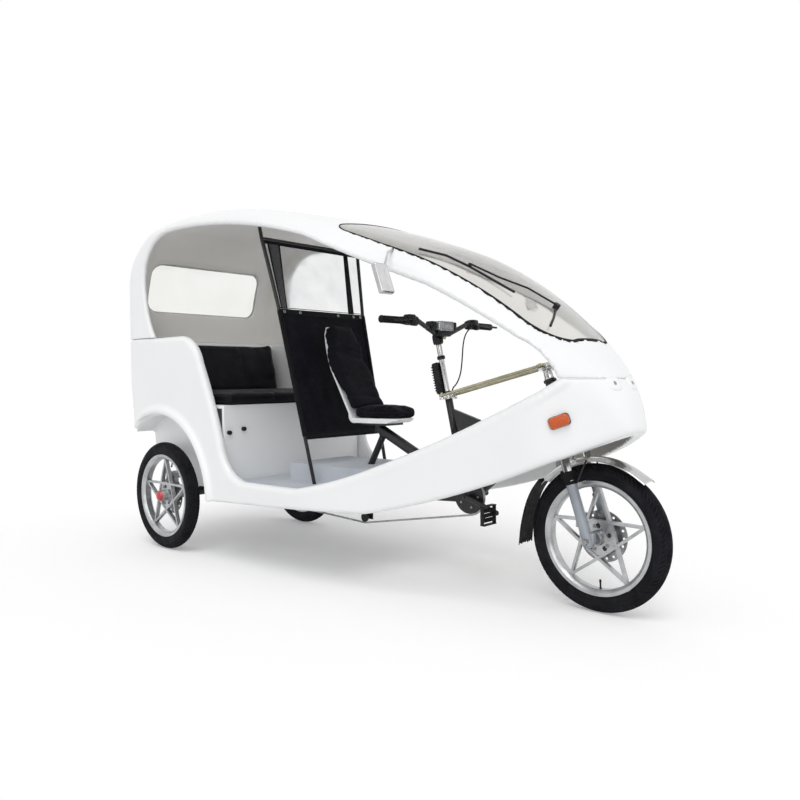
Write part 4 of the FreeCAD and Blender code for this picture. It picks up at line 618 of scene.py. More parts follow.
def window_outline(margin):
    """The rear window's outline, a margin inside its edge."""
    half, low, high = WINDOW_HALF - margin, WINDOW_FOOT + margin, WINDOW_TOP - margin
    points = []
    for sign_y, sign_z, start in ((1, 1, 0), (-1, 1, 90), (-1, -1, 180), (1, -1, 270)):
        y = sign_y * (half - WINDOW_CORNER)
        z = (high if sign_z > 0 else low) - sign_z * WINDOW_CORNER
        for step in range(9):
            turn = math.radians(start + 90 * step / 8)
            points.append((y + WINDOW_CORNER * math.cos(turn), z + WINDOW_CORNER * math.sin(turn)))
    return points


def window_prism(margin):
    return prism(window_outline(margin), along_body, WINDOW_BACK, WINDOW_FRONT)


def tree(obj):
    return BVHTree.FromObject(obj, bpy.context.evaluated_depsgraph_get())


def round_edges(obj, faces, outer, inner, radius):
    """Rounds the rim that a cut left: the rim's face becomes a bull-nose of the radius."""
    for vert in obj.data.vertices:
        place, normal, _, distance = faces.find_nearest(vert.co, 2 * radius)
        if place is None:
            continue
        skin = min(outer.find_nearest(vert.co)[3], inner.find_nearest(vert.co)[3])
        side = max(0.0, 1 - skin / radius)
        push = radius * (1 - math.sqrt(max(0.0, 1 - side * side)))
        vert.co += normal * push * max(0.0, 1 - distance / (2 * radius))


def remesh(obj, cell):
    """Gives a closed mesh even cells and takes off its steps."""
    modify(obj, "REMESH", mode="VOXEL", voxel_size=cell)
    return modify(obj, "SMOOTH", factor=0.5, iterations=2)


def paint_inside_light_and_shade(shell, inner, finish, start):
    """Gives the faces on the inner form, from a station forwards, a painted tone in place of the light inside the
    shell: painted light in the cabin, painted shade in the nose.
    """
    shell.data.materials.append(MATERIALS[finish])
    for face in shell.data.polygons:
        if face.center.x > start + AXLE_X and inner.find_nearest(face.center)[3] < 0.004:
            face.material_index = 1


def finish_shell(shell, node, trees, faces, radii, inside_paint, start):
    """Evens out a shell's mesh, rounds its cut edges and gives it its finish, with painted light and shade on its
    inside.
    """
    shell.name = node + "_skin"
    remesh(shell, SHELL_CELL)
    for face_tree, radius in zip(faces, radii):
        round_edges(shell, face_tree, *trees, radius)
    dress(shell, "body", "white_shell", smooth=180)
    paint_inside_light_and_shade(shell, trees[1], inside_paint, start)
    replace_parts(shell, node)


def make_upper_shell():
    outer, inner = hull(0), hull(UPPER_WALL)
    trees = tree(outer), tree(inner)
    shell = combine(outer, inner, "DIFFERENCE")
    cuts = [opening_prism(), screen_prism(), window_prism(0)]
    faces = [tree(tool) for tool in cuts]
    combine(shell, seam_region(SEAM_GAP), "INTERSECT")
    for tool in cuts:
        combine(shell, tool, "DIFFERENCE")
    # the cabin's inside faces take a warmer, lighter white: painted light
    finish_shell(shell, "upper_shell", trees, faces, (0.0135, 0.005, 0.010), "warm_white_painted_light", -1.0)


def make_lower_shell():
    outer, inner = hull(0), hull(LOWER_WALL)
    trees = tree(outer), tree(inner)
    tail = prism(TAIL)
    combine(inner, prism([(x + LOWER_WALL if x > -BEYOND else x, z) for x, z in TAIL]), "DIFFERENCE")
    shell = combine(outer, inner, "DIFFERENCE")
    arch = [(ARCH_RADIUS * math.cos(turn), WHEEL_RADIUS + ARCH_RADIUS * math.sin(turn)) for turn in turns(96)]
    cuts = [opening_prism(), prism(trace(UNDERSIDE))]
    cuts += [prism(arch, across_body, *sorted((sign * WELL_INNER, sign * WELL_OUTER))) for sign in SIGNS]
    faces = [tree(tool) for tool in cuts]
    for sign in SIGNS:
        combine(shell, arch_flare(sign), "UNION")
    combine(shell, seam_region(-SEAM_GAP), "DIFFERENCE")
    for tool in cuts + [tail]:
        combine(shell, tool, "DIFFERENCE")
    # the inside of the nose, from station 1.95 forwards, takes a darker brownish grey: painted shade
    finish_shell(shell, "lower_shell", trees, faces, (0.024, 0.010, 0.020, 0.020), "nose_painted_shade", 1.95)


def arch_flare(sign):
    """The rounded flare round a rear wheel's arch."""
    rows = []
    start, end, steps = math.radians(FLARE_FROM), math.radians(FLARE_TO), FLARE_STEPS
    for step in range(steps + 1):
        turn = start + (end - start) * step / steps
        fade = min(1.0, step / 10, (steps - step) / 10)
        reach = ARCH_LIP * (0.35 + 0.65 * math.sin(fade * math.pi / 2))
        row = []
        for angle in turns(16):
            out = ARCH_RADIUS + FLARE_HALF + FLARE_HALF * math.cos(angle)
            row.append(at(out * math.cos(turn), sign * (HALF - 0.006 + reach * math.sin(angle)),
                          WHEEL_RADIUS + out * math.sin(turn)))
        rows.append(row)
    return Shape().grid(rows, round_columns=True, cap=True).object("tool")


def make_wheel_wells():
    """The liners that close the rear arches towards the cabin."""
    wells = Shape()
    profile = [(WELL_CORE, WELL_INNER - WELL_WALL), (ARCH_RADIUS + WELL_WALL, WELL_INNER - WELL_WALL),
               (ARCH_RADIUS + WELL_WALL, WELL_EDGE), (ARCH_RADIUS - 0.001, WELL_EDGE),
               (ARCH_RADIUS - 0.001, WELL_INNER + WELL_ROUND), (ARCH_RADIUS - WELL_ROUND, WELL_INNER),
               (WELL_CORE, WELL_INNER)]
    for sign in SIGNS:
        rows = []
        for step in range(WELL_STEPS + 1):
            turn = math.radians(WELL_FROM + WELL_SWEEP * step / WELL_STEPS)
            rows.append([at(r * math.cos(turn), sign * y, WHEEL_RADIUS + r * math.sin(turn)) for r, y in profile])
        wells.grid(rows, round_columns=True, cap=True)
    liners = wells.object("wheel_wells")
    combine(liners, prism(WELL_REACH), "INTERSECT")
    dress(liners, "body", "white_shell", smooth=40)


def make_glazing():
    for node, cut, finish in (("windscreen", screen_prism(), "clear_glass"),
                              ("rear_window", window_prism(0.0005), "window_pane")):
        pane = combine(hull(GLASS_SKIN), hull(GLASS_BACK), "DIFFERENCE")
        combine(pane, cut, "INTERSECT")
        pane.name = node + "_pane"
        dress(pane, "body", finish, smooth=40)
        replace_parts(pane, node)


# ---------------------------------------------------------------- soft goods
BENCH_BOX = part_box("bench_cushion")
SEAT_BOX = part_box("driver_seat_cushion")
BACK_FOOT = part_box("driver_back_cushion")[0][2]
BACKREST_LEAN = 12
CHANNEL_DEPTH, CHANNEL_HALF = 0.007, 0.006
BENCH_WELT, SEAT_WELT = 0.0032, 0.0022
BENCH_CELL, SEAT_CELL, PRESSURE, CLOTH_STIFFNESS, CLOTH_FRAMES = 0.011, 0.006, 4, 40, 20
BACK_WIDEN, BACK_EDGE, BACK_WRAP = 1.16, 0.104, 0.013
BACK_FOOT_RISE, BACK_FOOT_FORWARD, BACK_FOOT_DROP = 0.08, 0.020, 0.028
# creases across the driver's back cushion: height, slope, depth and half width
BACK_CREASES = [
    (1.095, 0.10, 0.0040, 0.010), (1.040, -0.16, 0.0050, 0.012), (0.985, 0.22, 0.0060, 0.011),
    (0.925, -0.12, 0.0050, 0.013), (0.870, 0.16, 0.0070, 0.012), (0.828, -0.08, 0.0060, 0.010),
]


def copied(node, name):
    """A closed mesh of its own with a CAD node's form."""
    shape = bmesh.new()
    shape.from_mesh(frame["nodes"][node].data)
    bmesh.ops.remove_doubles(shape, verts=shape.verts, dist=1e-5)
    mesh = bpy.data.meshes.new(name)
    shape.to_mesh(mesh)
    shape.free()
    return new_object(name, mesh)


def inflate(obj, cap):
    """Swells a closed mesh as stuffed cloth, moving no point further than the cap."""
    before = [vert.co.copy() for vert in obj.data.vertices]
    settings = obj.modifiers.new("cloth", "CLOTH").settings
    settings.use_pressure = True
    settings.uniform_pressure_force = PRESSURE
    settings.effector_weights.gravity = 0
    settings.tension_stiffness = settings.compression_stiffness = CLOTH_STIFFNESS
    for number in range(1, CLOTH_FRAMES + 1):
        SCENE.frame_set(number)
    bake(obj)
    SCENE.frame_set(1)
    for vert, start in zip(obj.data.vertices, before):
        move = vert.co - start
        if move.length > cap:
            vert.co = start + move * (cap / move.length)


def pad(node, cell, shrink, cap, mould, finish, fit=None):
    """A stuffed cushion in the place of its CAD solid; fit moves its points before it is stuffed."""
    obj = copied(node, node + "_stuffed")
    if fit:
        for vert in obj.data.vertices:
            vert.co = fit(vert.co)
    remesh(obj, cell)
    for vert in obj.data.vertices:
        vert.co -= vert.normal * shrink
    inflate(obj, cap)
    for vert in obj.data.vertices:
        vert.co += vert.normal * mould(vert.co)
    modify(obj, "SUBSURF", levels=1, render_levels=1)
    dress(obj, "body", finish, 180)
    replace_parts(obj, node)
    return obj


def welt(name, cushion, path, radius):
    """A sewn cord along a closed path, laid onto the nearest places on a cushion."""
    skin = tree(cushion)
    points = [skin.find_nearest(point)[0] for point in path]
    centre = sum(points, Vector()) / len(points)
    rows = []
    for before, point, after in zip(points[-1:] + points, points, points[1:] + points[:1]):
        way = (after - before).normalized()
        out = point - centre
        out = (out - way * out.dot(way)).normalized()
        side = way.cross(out)
        rows.append([point + (out * math.cos(turn) + side * math.sin(turn)) * radius for turn in turns(8)])
    Shape().grid(rows, round_rows=True, round_columns=True).done(name, "body", "black_binding", "black_fabric", 180)


def box_path(box, height, steps=40):
    """A rectangle about a box at a share of its height."""
    (west, south, low), (east, north, high) = box
    spots = [Vector((x, y, between(low, high, height)))
             for x, y in ((west, south), (east, south), (east, north), (west, north))]
    return [a + (b - a) * step / steps for a, b in zip(spots, spots[1:] + spots[:1]) for step in range(steps)]


def ripple(place, scale, height, stretch=(1, 1, 1)):
    return height * noise.noise(Vector(a * b for a, b in zip(place, stretch)) * scale)


def shares(place, box):
    """How far along and across a box a place is, each from -1 to 1."""
    return ((place[k] - box[0][k]) / (box[1][k] - box[0][k]) * 2 - 1 for k in (0, 1))


def channels(place, across):
    """The depth of two sewn channels, each at a distance from the middle."""
    return CHANNEL_DEPTH * sum(math.exp(-((place.y - y) / CHANNEL_HALF)**2) for y in (-across, across))


def bench_mould(place):
    """A crowned seat with two sewn channels across it and a slack surface."""
    if place.z < BENCH_BOX[0][2] + 0.012:
        return 0.0
    u, v = shares(place, BENCH_BOX)
    crown = 0.006 * max(0.0, 1 - u * u) * max(0.0, 1 - v**4)
    return crown - channels(place, 0.154) + ripple(place, 9, 0.0022) + ripple(place, 34, 0.0008)


def backrest_mould(place):
    """Two sewn channels down the backrest and slack folds between them."""
    return ripple(place, 8, 0.004, (1, 1, 2)) + ripple(place, 30, 0.0010, (1, 1, 2)) - channels(place, 0.145)


def driver_back_mould(place):
    drop = 0.0
    for height, slope, depth, half in BACK_CREASES:
        away = place.z - height - slope * place.y - ripple(place, 11, 0.012)
        drop += depth * math.exp(-(away / half)**2) * (0.75 + 0.5 * noise.noise(place * 7 + aside(height)))
    return ripple(place, 9, 0.004, (1, 0.5, 1.5)) + 0.004 - drop


def driver_back_fit(place):
    """Carries the back cushion's foot down to the seat pad and its sides over the shell's edge."""
    low = max(0.0, 1 - (place.z - BACK_FOOT) / BACK_FOOT_RISE)
    across = place.y * BACK_WIDEN
    wrap = BACK_WRAP if abs(across) > BACK_EDGE else 0.0
    return Vector((place.x + BACK_FOOT_FORWARD * low - wrap, across, place.z - BACK_FOOT_DROP * low))


def driver_seat_mould(place):
    if place.z < SEAT_BOX[0][2] + 0.010:
        return 0.0
    u, v = shares(place, SEAT_BOX)
    return 0.004 * max(0.0, 1 - u * u) * max(0.0, 1 - v * v) + ripple(place, 16, 0.0035, (1, 0.6, 1))


def backrest_front():
    """A round-cornered path round the front of the backrest."""
    centre = middle("bench_backrest")
    along = leaned_back(BACKREST_LEAN)
    out = square_to(along)
    path = []
    for turn in turns(160):
        across, rise = (half * math.copysign(abs(share)**0.25, share)
                        for half, share in ((0.5, math.cos(turn)), (0.19, math.sin(turn))))
        path.append(centre + aside(across) + along * rise + out * 0.030)
    return path


def make_cushions():
    bench = pad("bench_cushion", BENCH_CELL, 0.006, 0.012, bench_mould, "black_leather")
    for share, name in ((0.74, "top"), (0.2, "foot")):
        welt("bench_cushion_welt_" + name, bench, box_path(BENCH_BOX, share), BENCH_WELT)
    rest = pad("bench_backrest", BENCH_CELL, 0.008, 0.016, backrest_mould, "black_leather")
    welt("bench_backrest_welt", rest, backrest_front(), BENCH_WELT)
    pad("driver_back_cushion", SEAT_CELL, 0.002, 0.010, driver_back_mould, "black_fabric", driver_back_fit)
    seat = pad("driver_seat_cushion", SEAT_CELL, 0.002, 0.010, driver_seat_mould, "black_fabric")
    welt("driver_seat_welt", seat, box_path(SEAT_BOX, 0.55), SEAT_WELT)


# ---------------------------------------------------------------- partition behind the driver
PARTITION_LOW = Vector((0.900, 0.268, 0.632))
PARTITION_KNEE = Vector((0.746, 0.295, 1.269))
PARTITION_TOP = Vector((0.668, 0.336, 1.621))
SLEEVE = 0.0112
EYELETS = (-0.90, -0.55, 0.35, 0.74, 0.92)
# straps down the window: the near and the far edge at the knee and at the top, as shares of the half width
STRAPS = [
    ("strap_near", (-0.94, -0.90), (-0.83, -0.69), "grey_webbing"),
    ("strap_near_edge", (-0.95, -0.92), (-0.93, -0.885), "black_binding"),
    ("strap_near_inner", (-0.85, -0.71), (-0.82, -0.67), "black_binding"),
    ("trim_near", (-0.995, -0.995), (-0.965, -0.965), "black_binding"),
    ("strap_far", (0.62, 0.66), (0.76, 0.75), "black_binding"),
    ("trim_far", (0.955, 0.955), (0.995, 0.995), "black_binding"),
]


def between(start, end, share):
    return start + (end - start) * share


def noise_at(x, y, z):
    return noise.noise(Vector((x, y, z)))


def partition_point(low, high, across, rise, out=0.0):
    """A place on the plane between two bars: across from -1 to 1, rise from 0 to 1, out towards the driver."""
    place = between(low, high, rise)
    along = (high - low).normalized()
    forward = aside(1).cross(Vector((along.x, 0, along.z))).normalized()
    return at(place.x, place.y * across, place.z) + forward * out


def layer(front, rows, columns, thickness):
    """A thin sheet: front gives a place from shares up and across and a distance behind it."""
    shape = Shape()
    outer, inner = ([[front(i / rows, 2 * j / columns - 1, depth) for j in range(columns + 1)]
                     for i in range(rows + 1)] for depth in (0.0, thickness))
    rims = [[side[row] for side in (outer, inner)] for row in (0, -1)]
    rims += [[[row[column] for row in side] for side in (outer, inner)] for column in (0, -1)]
    for face in [outer, inner] + rims:
        shape.grid(face)
    bmesh.ops.remove_doubles(shape.bm, verts=shape.bm.verts, dist=1e-6)
    return shape


def trim(name, front, rows, columns, thickness, finish="black_binding"):
    """A band of cloth or webbing sewn on the partition."""
    return layer(front, rows, columns, thickness).done(name, "body", finish, "black_fabric", 180)


def fabric_sag(rise, across):
    """How far the partition's fabric stands out of its plane: a few slack folds."""
    held = (1 - across**4) * math.sin(math.pi * min(1, max(0, rise)))
    x, y = across * 0.29, rise * 0.655
    folds = 0.0065 * noise_at(x * 10, y * 3, 1.7) + 0.0035 * noise_at(x * 24 + y * 9, y * 6, 4.1)
    crease = -0.0035 * math.exp(-((rise - 0.47 - 0.03 * across) / 0.018)**2) * max(0.0, 0.5 - across)
    pull = 0.004 * math.exp(-((across + 0.55 - 0.25 * rise) / 0.10)**2)
    return (folds + pull) * held + crease - 0.004 * held


def make_fabric():
    low, high = PARTITION_LOW, PARTITION_KNEE

    def cloth(rise, across, depth):
        return partition_point(low, high, across, 0.006 + 0.988 * rise, fabric_sag(rise, across) + 0.0006 - depth)

    fabric = layer(cloth, 90, 72, 0.0012).done("partition_fabric_cloth", "body", "black_fabric", smooth=180)
    for name, start, end in (("top_hem", 0.955, 1.0), ("foot_hem", 0.0, 0.035)):
        def band(rise, across, depth, start=start, end=end):
            up = between(start, end, rise)
            return partition_point(low, high, across * 0.995, up, fabric_sag(up, across) + 0.0032 - depth)
        trim("partition_" + name, band, 8, 72, 0.0040)
    sleeves = Shape()
    for swell, row, pace, path in (
            (0.0007, (3.0, 0), 0.7, [partition_point(low, high, 1, 0.01 + 0.98 * i / 40) for i in range(41)]),
            (0.0007, (-3.0, 0), 0.7, [partition_point(low, high, -1, 0.01 + 0.98 * i / 40) for i in range(41)]),
            (0.0006, (5.0, 2.0), 0.8, [partition_point(low, high, -1 + i / 20, 0.0) for i in range(41)])):
        sleeves.tube(path, [SLEEVE + swell * noise_at(*row, i * pace) for i in range(41)], sides=16)
    sleeves.done("partition_sleeves", "body", "black_binding", "black_fabric", 180)
    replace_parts(fabric, "partition_fabric")


def make_film():
    low, high = PARTITION_KNEE, PARTITION_TOP

    def film(rise, across, depth):
        bow = 0.004 * noise_at(across * 2.1, rise * 2.4, 7.7) * (1 - across**4) * math.sin(math.pi * rise)
        return partition_point(low, high, across, 0.012 + 0.976 * rise, bow + 0.0005 - depth)

    def hem(rise, across, depth):
        return partition_point(low, high, across, 0.935 + 0.06 * rise, 0.0036 - depth)

    window = layer(film, 40, 56, 0.0010).done("partition_window_film", "body", "clear_film", smooth=180)
    for name, near, far, finish in STRAPS:
        def strap(rise, across, depth, near=near, far=far):
            start, end = between(*near, rise), between(*far, rise)
            spot = (start + end) / 2 + (end - start) / 2 * across
            return partition_point(low, high, spot, 0.004 + 0.992 * rise, 0.0034 - depth)
        trim("window_" + name, strap, 24, 4, 0.0022, finish)
    trim("window_top_hem", hem, 4, 56, 0.0064)
    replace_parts(window, "partition_window")


def make_eyelets():
    rings = Shape()
    low, high = PARTITION_LOW, PARTITION_KNEE
    forward = partition_point(low, high, 0, 0.5, 1) - partition_point(low, high, 0, 0.5)
    for across in EYELETS:
        rings.lathe(partition_point(low, high, across, 0.978, 0.0036), forward,
                    mm(3.6, -0.5, 4.2, 1.2, 5.8, 1.8, 7.2, 1, 7.8, -0.5), sides=20, closed=True)
    rings.done("partition_eyelets", "body", "steel", smooth=60)


# ---------------------------------------------------------------- steering's lines and the brake cable
def leaned_back(degrees):
    """The upward direction leaned backwards from upright."""
    lean = math.radians(degrees)
    return Vector((-math.sin(lean), 0, math.cos(lean)))


def square_to(up):
    """The forward direction square to an upward one."""
    return Vector((up.z, 0, -up.x))


COLUMN_LEAN, FORK_LEAN = 12.8, 18
COLUMN_UP, FORK_UP = leaned_back(COLUMN_LEAN), leaned_back(FORK_LEAN)
COLUMN_FOOT, HEAD, FRONT_AXLE = at(1.616, 0, 0.673), at(2.100, 0, 0.920), at(2.320, 0, 0.290)
# the control points from the lever, in a bow and down to the boss of the column's arm
CABLE_ROUTE = [
    (1.57207, 0.23839, 1.16567), (1.577, 0.200, 1.162), (1.581, 0.161, 1.147), (1.581, 0.127, 1.116),
    (1.587, 0.104, 1.074), (1.595, 0.088, 1.028), (1.602, 0.073, 0.978), (1.607, 0.056, 0.932),
    (1.604, 0.032, 0.889), (1.59128, 0.008, 0.86530), (1.59881, 0.008, 0.83215),
]


def on_column(along):
    return COLUMN_FOOT + COLUMN_UP * along


def make_brake_cable():
    curve = bpy.data.curves.new("brake_cable_hose", "CURVE")
    curve.dimensions = "3D"
    curve.bevel_depth = 0.003
    curve.bevel_resolution = 4
    curve.resolution_u = 16
    curve.use_fill_caps = True
    spline = curve.splines.new("NURBS")
    spline.points.add(len(CABLE_ROUTE) - 1)
    for point, place in zip(spline.points, CABLE_ROUTE):
        point.co = (*at(*place), 1)
    spline.order_u = 3
    spline.use_endpoint_u = True
    curve.materials.append(MATERIALS["black_rubber"])
    hose = new_object("brake_cable_hose", curve)
    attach(hose, "handlebar_set")
    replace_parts(hose, "brake_cable")
    ends = Shape()
    for tip, before in (CABLE_ROUTE[:2], CABLE_ROUTE[:-3:-1]):
        ends.lathe(at(*tip), at(*before) - at(*tip), mm(3.1, -2, 5, -2, 5, 12, 4.2, 16, 3.1, 18), sides=16,
                   closed=True)
    ends.done("brake_cable_ferrules", "handlebar_set", "chrome")


# ---------------------------------------------------------------- wheels
TYRE_MIDDLE, TYRE_HALF, TYRE_BEAD, BEAD_ANGLE = 0.256, 0.034, 0.012, 155
TREAD_STEPS, SECTION_STEPS = 528, 62
MIDDLE_BLOCKS, SIDE_BLOCKS = 44, 88
BOLTS, BOLT_CIRCLE = 5, 0.047
REAR_HUB, VALVE_REACH = 0.042, 0.200


def tyre_section(angle):
    """The tyre's radius and half width at an angle in degrees from the crown."""
    turn = math.radians(angle)
    reach = TYRE_MIDDLE + TYRE_HALF * math.cos(turn)
    if abs(angle) <= 90:
        return reach, TYRE_HALF * math.sin(turn)
    return reach, math.copysign(TYRE_HALF - TYRE_BEAD * ((abs(angle) - 90) / 65)**2, angle)


def tread(around, angle):
    """How deep the tread is cut: two grooves a side, slanted cuts between them, and rings on the wall."""
    across = abs(angle)
    if across > 74:
        return 0.0009 if 78 < across < 82 or 98 < across < 102 else 0.0
    if 13 < across < 17 or 34 < across < 38:
        return 0.0034
    shift = 0.5 * (angle > 0)
    if across <= 13:
        return 0.0026 if (around * MIDDLE_BLOCKS + across / 13 * 0.5 + shift) % 1 < 0.18 else 0.0
    if across < 34:
        return 0.0030 if (around * SIDE_BLOCKS - across / 17 + shift) % 1 < 0.28 else 0.0
    return 0.0036 if (around * SIDE_BLOCKS + across / 34 + shift) % 1 < 0.36 else 0.0


def make_tyre(name, centre, body):
    section = []
    for step in range(SECTION_STEPS + 1):
        angle = 2 * BEAD_ANGLE * step / SECTION_STEPS - BEAD_ANGLE
        section.append((angle, *tyre_section(angle), circle(math.radians(angle))))
    rows = []
    for step, turn in enumerate(turns(TREAD_STEPS)):
        row = []
        for angle, reach, across, out in section:
            depth = tread(step / TREAD_STEPS, angle)
            row.append(centre + circle(turn) * (reach - depth * out.x) + aside(across - depth * out.z))
        rows.append(row)
    tyre = Shape().grid(rows, round_rows=True, round_columns=True).done(name + "_treaded", body, "tyre", smooth=28)
    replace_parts(tyre, name)


def make_wheel_trim(name, centre, body, outer, valve_at=72):
    """The valve and the disc's bolts on one wheel; outer is the sign of the side that the disc is on."""
    out = circle(math.radians(valve_at))
    Shape().lathe(centre + out * VALVE_REACH, -out, mm(4.8, -6, 4.8, 4, 3.4, 6, 3.4, 24, 4.4, 25, 4.4, 34, 3, 36),
                  sides=16).done(name + "_valve", body, "black_rubber", smooth=50)
    bolts = Shape()
    for turn in turns(BOLTS, 0.5):
        bolts.lathe(centre + circle(turn) * BOLT_CIRCLE + aside(outer * 0.0068), aside(outer),
                    mm(9.5, -1, 9.5, 1.6, 6.8, 1.8, 6.4, 6.2, 3.4, 6.8, 3.4, 3.8, 0.1, 3.6), sides=6)
    bolts.done(name + "_bolts", body, "steel", smooth=30)


def make_wheels():
    for side, sign in SIDES:
        node = "rear_" + side
        body = node + "_wheel_set"
        centre = middle(node + "_wheel")
        make_tyre(node + "_tyre", centre, body)
        make_wheel_trim(node, centre, body, sign)
        cap = Shape().lathe(centre + aside(sign * (REAR_HUB - 0.002)), aside(sign), mm(
            28, -6, 29, 0, 29, 3, 26.5, 5.2, 25.5, 8, 22, 13, 15.5, 16.8, 8, 18.6, 0.1, 19.2), sides=40)
        cap.done(node + "_hub_cap", body, "red_cap", "amber_lens", 60)
    centre = middle("front_wheel")
    make_tyre("front_tyre", centre, "front_wheel_set")
    make_wheel_trim("front", centre, "front_wheel_set", -1, -88)


# ---------------------------------------------------------------- front fork
LEG_ASIDE = 0.090
CROWN_BELOW_HEAD = 0.249
FENDER_RADIUS, FENDER_HALF, FENDER_START, FENDER_SWEEP = 0.3175, 0.0415, 48, 93
STAY_REACH, STAY_RADIUS, BRACE_RADIUS = 0.3165, 0.006, 0.0036
FLAP_SCREWS_AT = 139.5
# columns: sign of the side and how far the lower reaches up its leg
LOWERS = [(1, 0.150), (-1, 0.215)]


def on_wheel(reach, degrees):
    return FRONT_AXLE + circle(math.radians(degrees)) * reach


def make_fender():
    """A crowned fender with rolled edges and a flared front end."""
    def sheet(rise, across, depth):
        flare = max(0.0, 1 - rise / 0.10)
        half = FENDER_HALF + 0.0035 * flare
        drop = 0.017 * abs(across)**2.4 - 0.004 * flare * flare
        roll = 0.0024 * math.exp(-((abs(across) - 0.96) / 0.035)**2)
        place = on_wheel(FENDER_RADIUS - drop + roll - depth, FENDER_START + FENDER_SWEEP * rise)
        return place + aside(half * across)
    fender = layer(sheet, 80, 32, 0.0016).done("front_fender_shell", "fork", "chrome", smooth=180)
    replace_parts(fender, "front_fender")
    crown = HEAD - FORK_UP * CROWN_BELOW_HEAD
    foot = FRONT_AXLE + (crown - FRONT_AXLE).normalized() * STAY_REACH
    stay = Shape().tube([between(crown, foot, step / 4) for step in range(5)], STAY_RADIUS, sides=20)
    stay.lathe(foot, crown - foot, mm(18, -1, 18, 2, 10, 4, 8.5, 10, 6, 12), sides=24, closed=True)
    stay.done("fender_stay", "fork", "chrome")
    lugs = Shape()
    for sign in SIGNS:
        edge = on_wheel(0.303, 96) + aside(sign * 0.0405)
        leg = FRONT_AXLE + aside(sign * 0.074) + FORK_UP * 0.205
        lugs.tube([edge, edge + Vector((0, sign * 0.012, -0.010)), leg], BRACE_RADIUS)
    lugs.done("fender_braces", "fork", "black_paint")


def make_mud_flap():
    """A rubber flap behind the front wheel, worn ragged along its foot."""
    path = [on_wheel(0.320, 138), on_wheel(0.320, 148), on_wheel(0.3195, 158), on_wheel(0.3200, 168),
            on_wheel(0.3265, 179), FRONT_AXLE + Vector((-0.335, 0, -0.070))]

    def spot(rise):
        place = rise * (len(path) - 1)
        index = min(int(place), len(path) - 2)
        t = place - index
        a, b = path[max(index - 1, 0)], path[index]
        c, d = path[index + 1], path[min(index + 2, len(path) - 1)]
        return (b * 2 + (c - a) * t + (a * 2 - b * 5 + c * 4 - d) * t * t + (b * 3 - a - c * 3 + d) * t**3) / 2

    def sheet(rise, across, depth):
        ragged = 0.006 + 0.012 * noise_at(across * 5.5, 2.0, 0) + 0.006 * noise_at(across * 17, 5.0, 0)
        bow = 0.004 * (1 - across * across) * rise
        return spot(rise) + Vector((-depth - bow + 0.002, 0.050 * across, max(0.0, ragged) * rise**8))
    flap = layer(sheet, 48, 60, 0.0030).done("mud_flap_sheet", "fork", "black_rubber", smooth=180)
    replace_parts(flap, "mud_flap")
    screws = Shape()
    for across in (-0.032, 0, 0.032):
        screws.lathe(on_wheel(0.3215, FLAP_SCREWS_AT) + aside(across), circle(math.radians(FLAP_SCREWS_AT)),
                     mm(5.2, -2, 5.2, 1, 3.6, 2.8, 0.1, 3.4), sides=16)
    screws.done("mud_flap_screws", "fork", "steel", smooth=50)


def make_fork():
    """Telescopic lowers over the fork's tubes, their seals, clamps and axle nuts, and the head's collars."""
    lowers, seals, nuts, collars, cap = Shape(), Shape(), Shape(), Shape(), Shape()
    for sign, reach in LOWERS:
        foot = FRONT_AXLE + aside(sign * LEG_ASIDE)
        rim = foot + FORK_UP * reach
        lowers.lathe(foot, FORK_UP, mm(0.1, -26.2, 15, -26, 19.5, -21.5, 20.5, -14) + [
            (0.0205, reach - 0.006), (0.0218, reach - 0.003), (0.0218, reach + 0.006), (0.0190, reach + 0.007)],
            sides=40)
        lowers.block(foot + Vector((0.012, -sign * 0.004, 0.012)), (0.030, 0.026, 0.044), 0.006, 3)
        seals.lathe(rim, FORK_UP, mm(18.8, 6, 22.2, 7, 22.8, 12, 21, 18, 18.6, 20), sides=40, closed=True)
        nuts.lathe(foot + aside(sign * 0.014), aside(sign), mm(15, 0, 15, 6, 11.8, 6.5, 11.2, 14.5, 7, 16, 0.1, 16),
                   sides=6)
    near = FRONT_AXLE + aside(-LEG_ASIDE) + FORK_UP * 0.255
    seals.lathe(near, FORK_UP, mm(18.4, -18, 22.5, -18, 22.5, 18, 18.4, 18), sides=40, closed=True)
    seals.block(near + Vector((-0.020, -0.006, 0.004)), (0.022, 0.018, 0.030), 0.003)
    for along, half in ((-0.020, 7), (-0.212, 8)):
        collars.lathe(HEAD + FORK_UP * along, FORK_UP, mm(
            22.1, -half, 26.2, 2 - half, 26.8, 0, 26.2, half - 2, 22.1, half), closed=True)
    cap.lathe(HEAD, FORK_UP, mm(14.2, -18, 20, -18, 21, -8, 18.5, -4, 18.5, 10, 17.2, 16, 17.2, 23, 14.2, 24),
              closed=True)
    cap.lathe(HEAD + FORK_UP * 0.055, FORK_UP, mm(22.5, -21, 22.5, -16, 19, -14, 18, -4, 12, 1, 0.1, 2))
    lowers.done("fork_lowers", "fork", "fork_alloy", "cast_alloy", 40)
    seals.done("fork_seals", "fork", "black_rubber", smooth=40)
    nuts.done("front_axle_nuts", "fork", "steel", smooth=30)
    collars.done("head_collars", "body", "black_paint", smooth=50)
    cap.done("steerer_head_cap", "fork", "chrome", smooth=40)


# ---------------------------------------------------------------- handlebar
BAR_ALONG, BAR_RISE, BAR_BEND, BAR_HALF = 0.456, 0.048, 0.170, 0.393
ROD_ASIDE, ROD_ON_COLUMN, ROD_OVER_HEAD = 0.045, 0.170, 0.044
ROD_THREADS, ROD_CREST, ROD_ROOT = 128, 0.0074, 0.0062
BOX_ALONG, BOX_BEHIND = 0.255, 0.0305
GRIP_LENGTH, GRIP_RIBS, RIB_PITCH = 0.125, 22, 0.0048


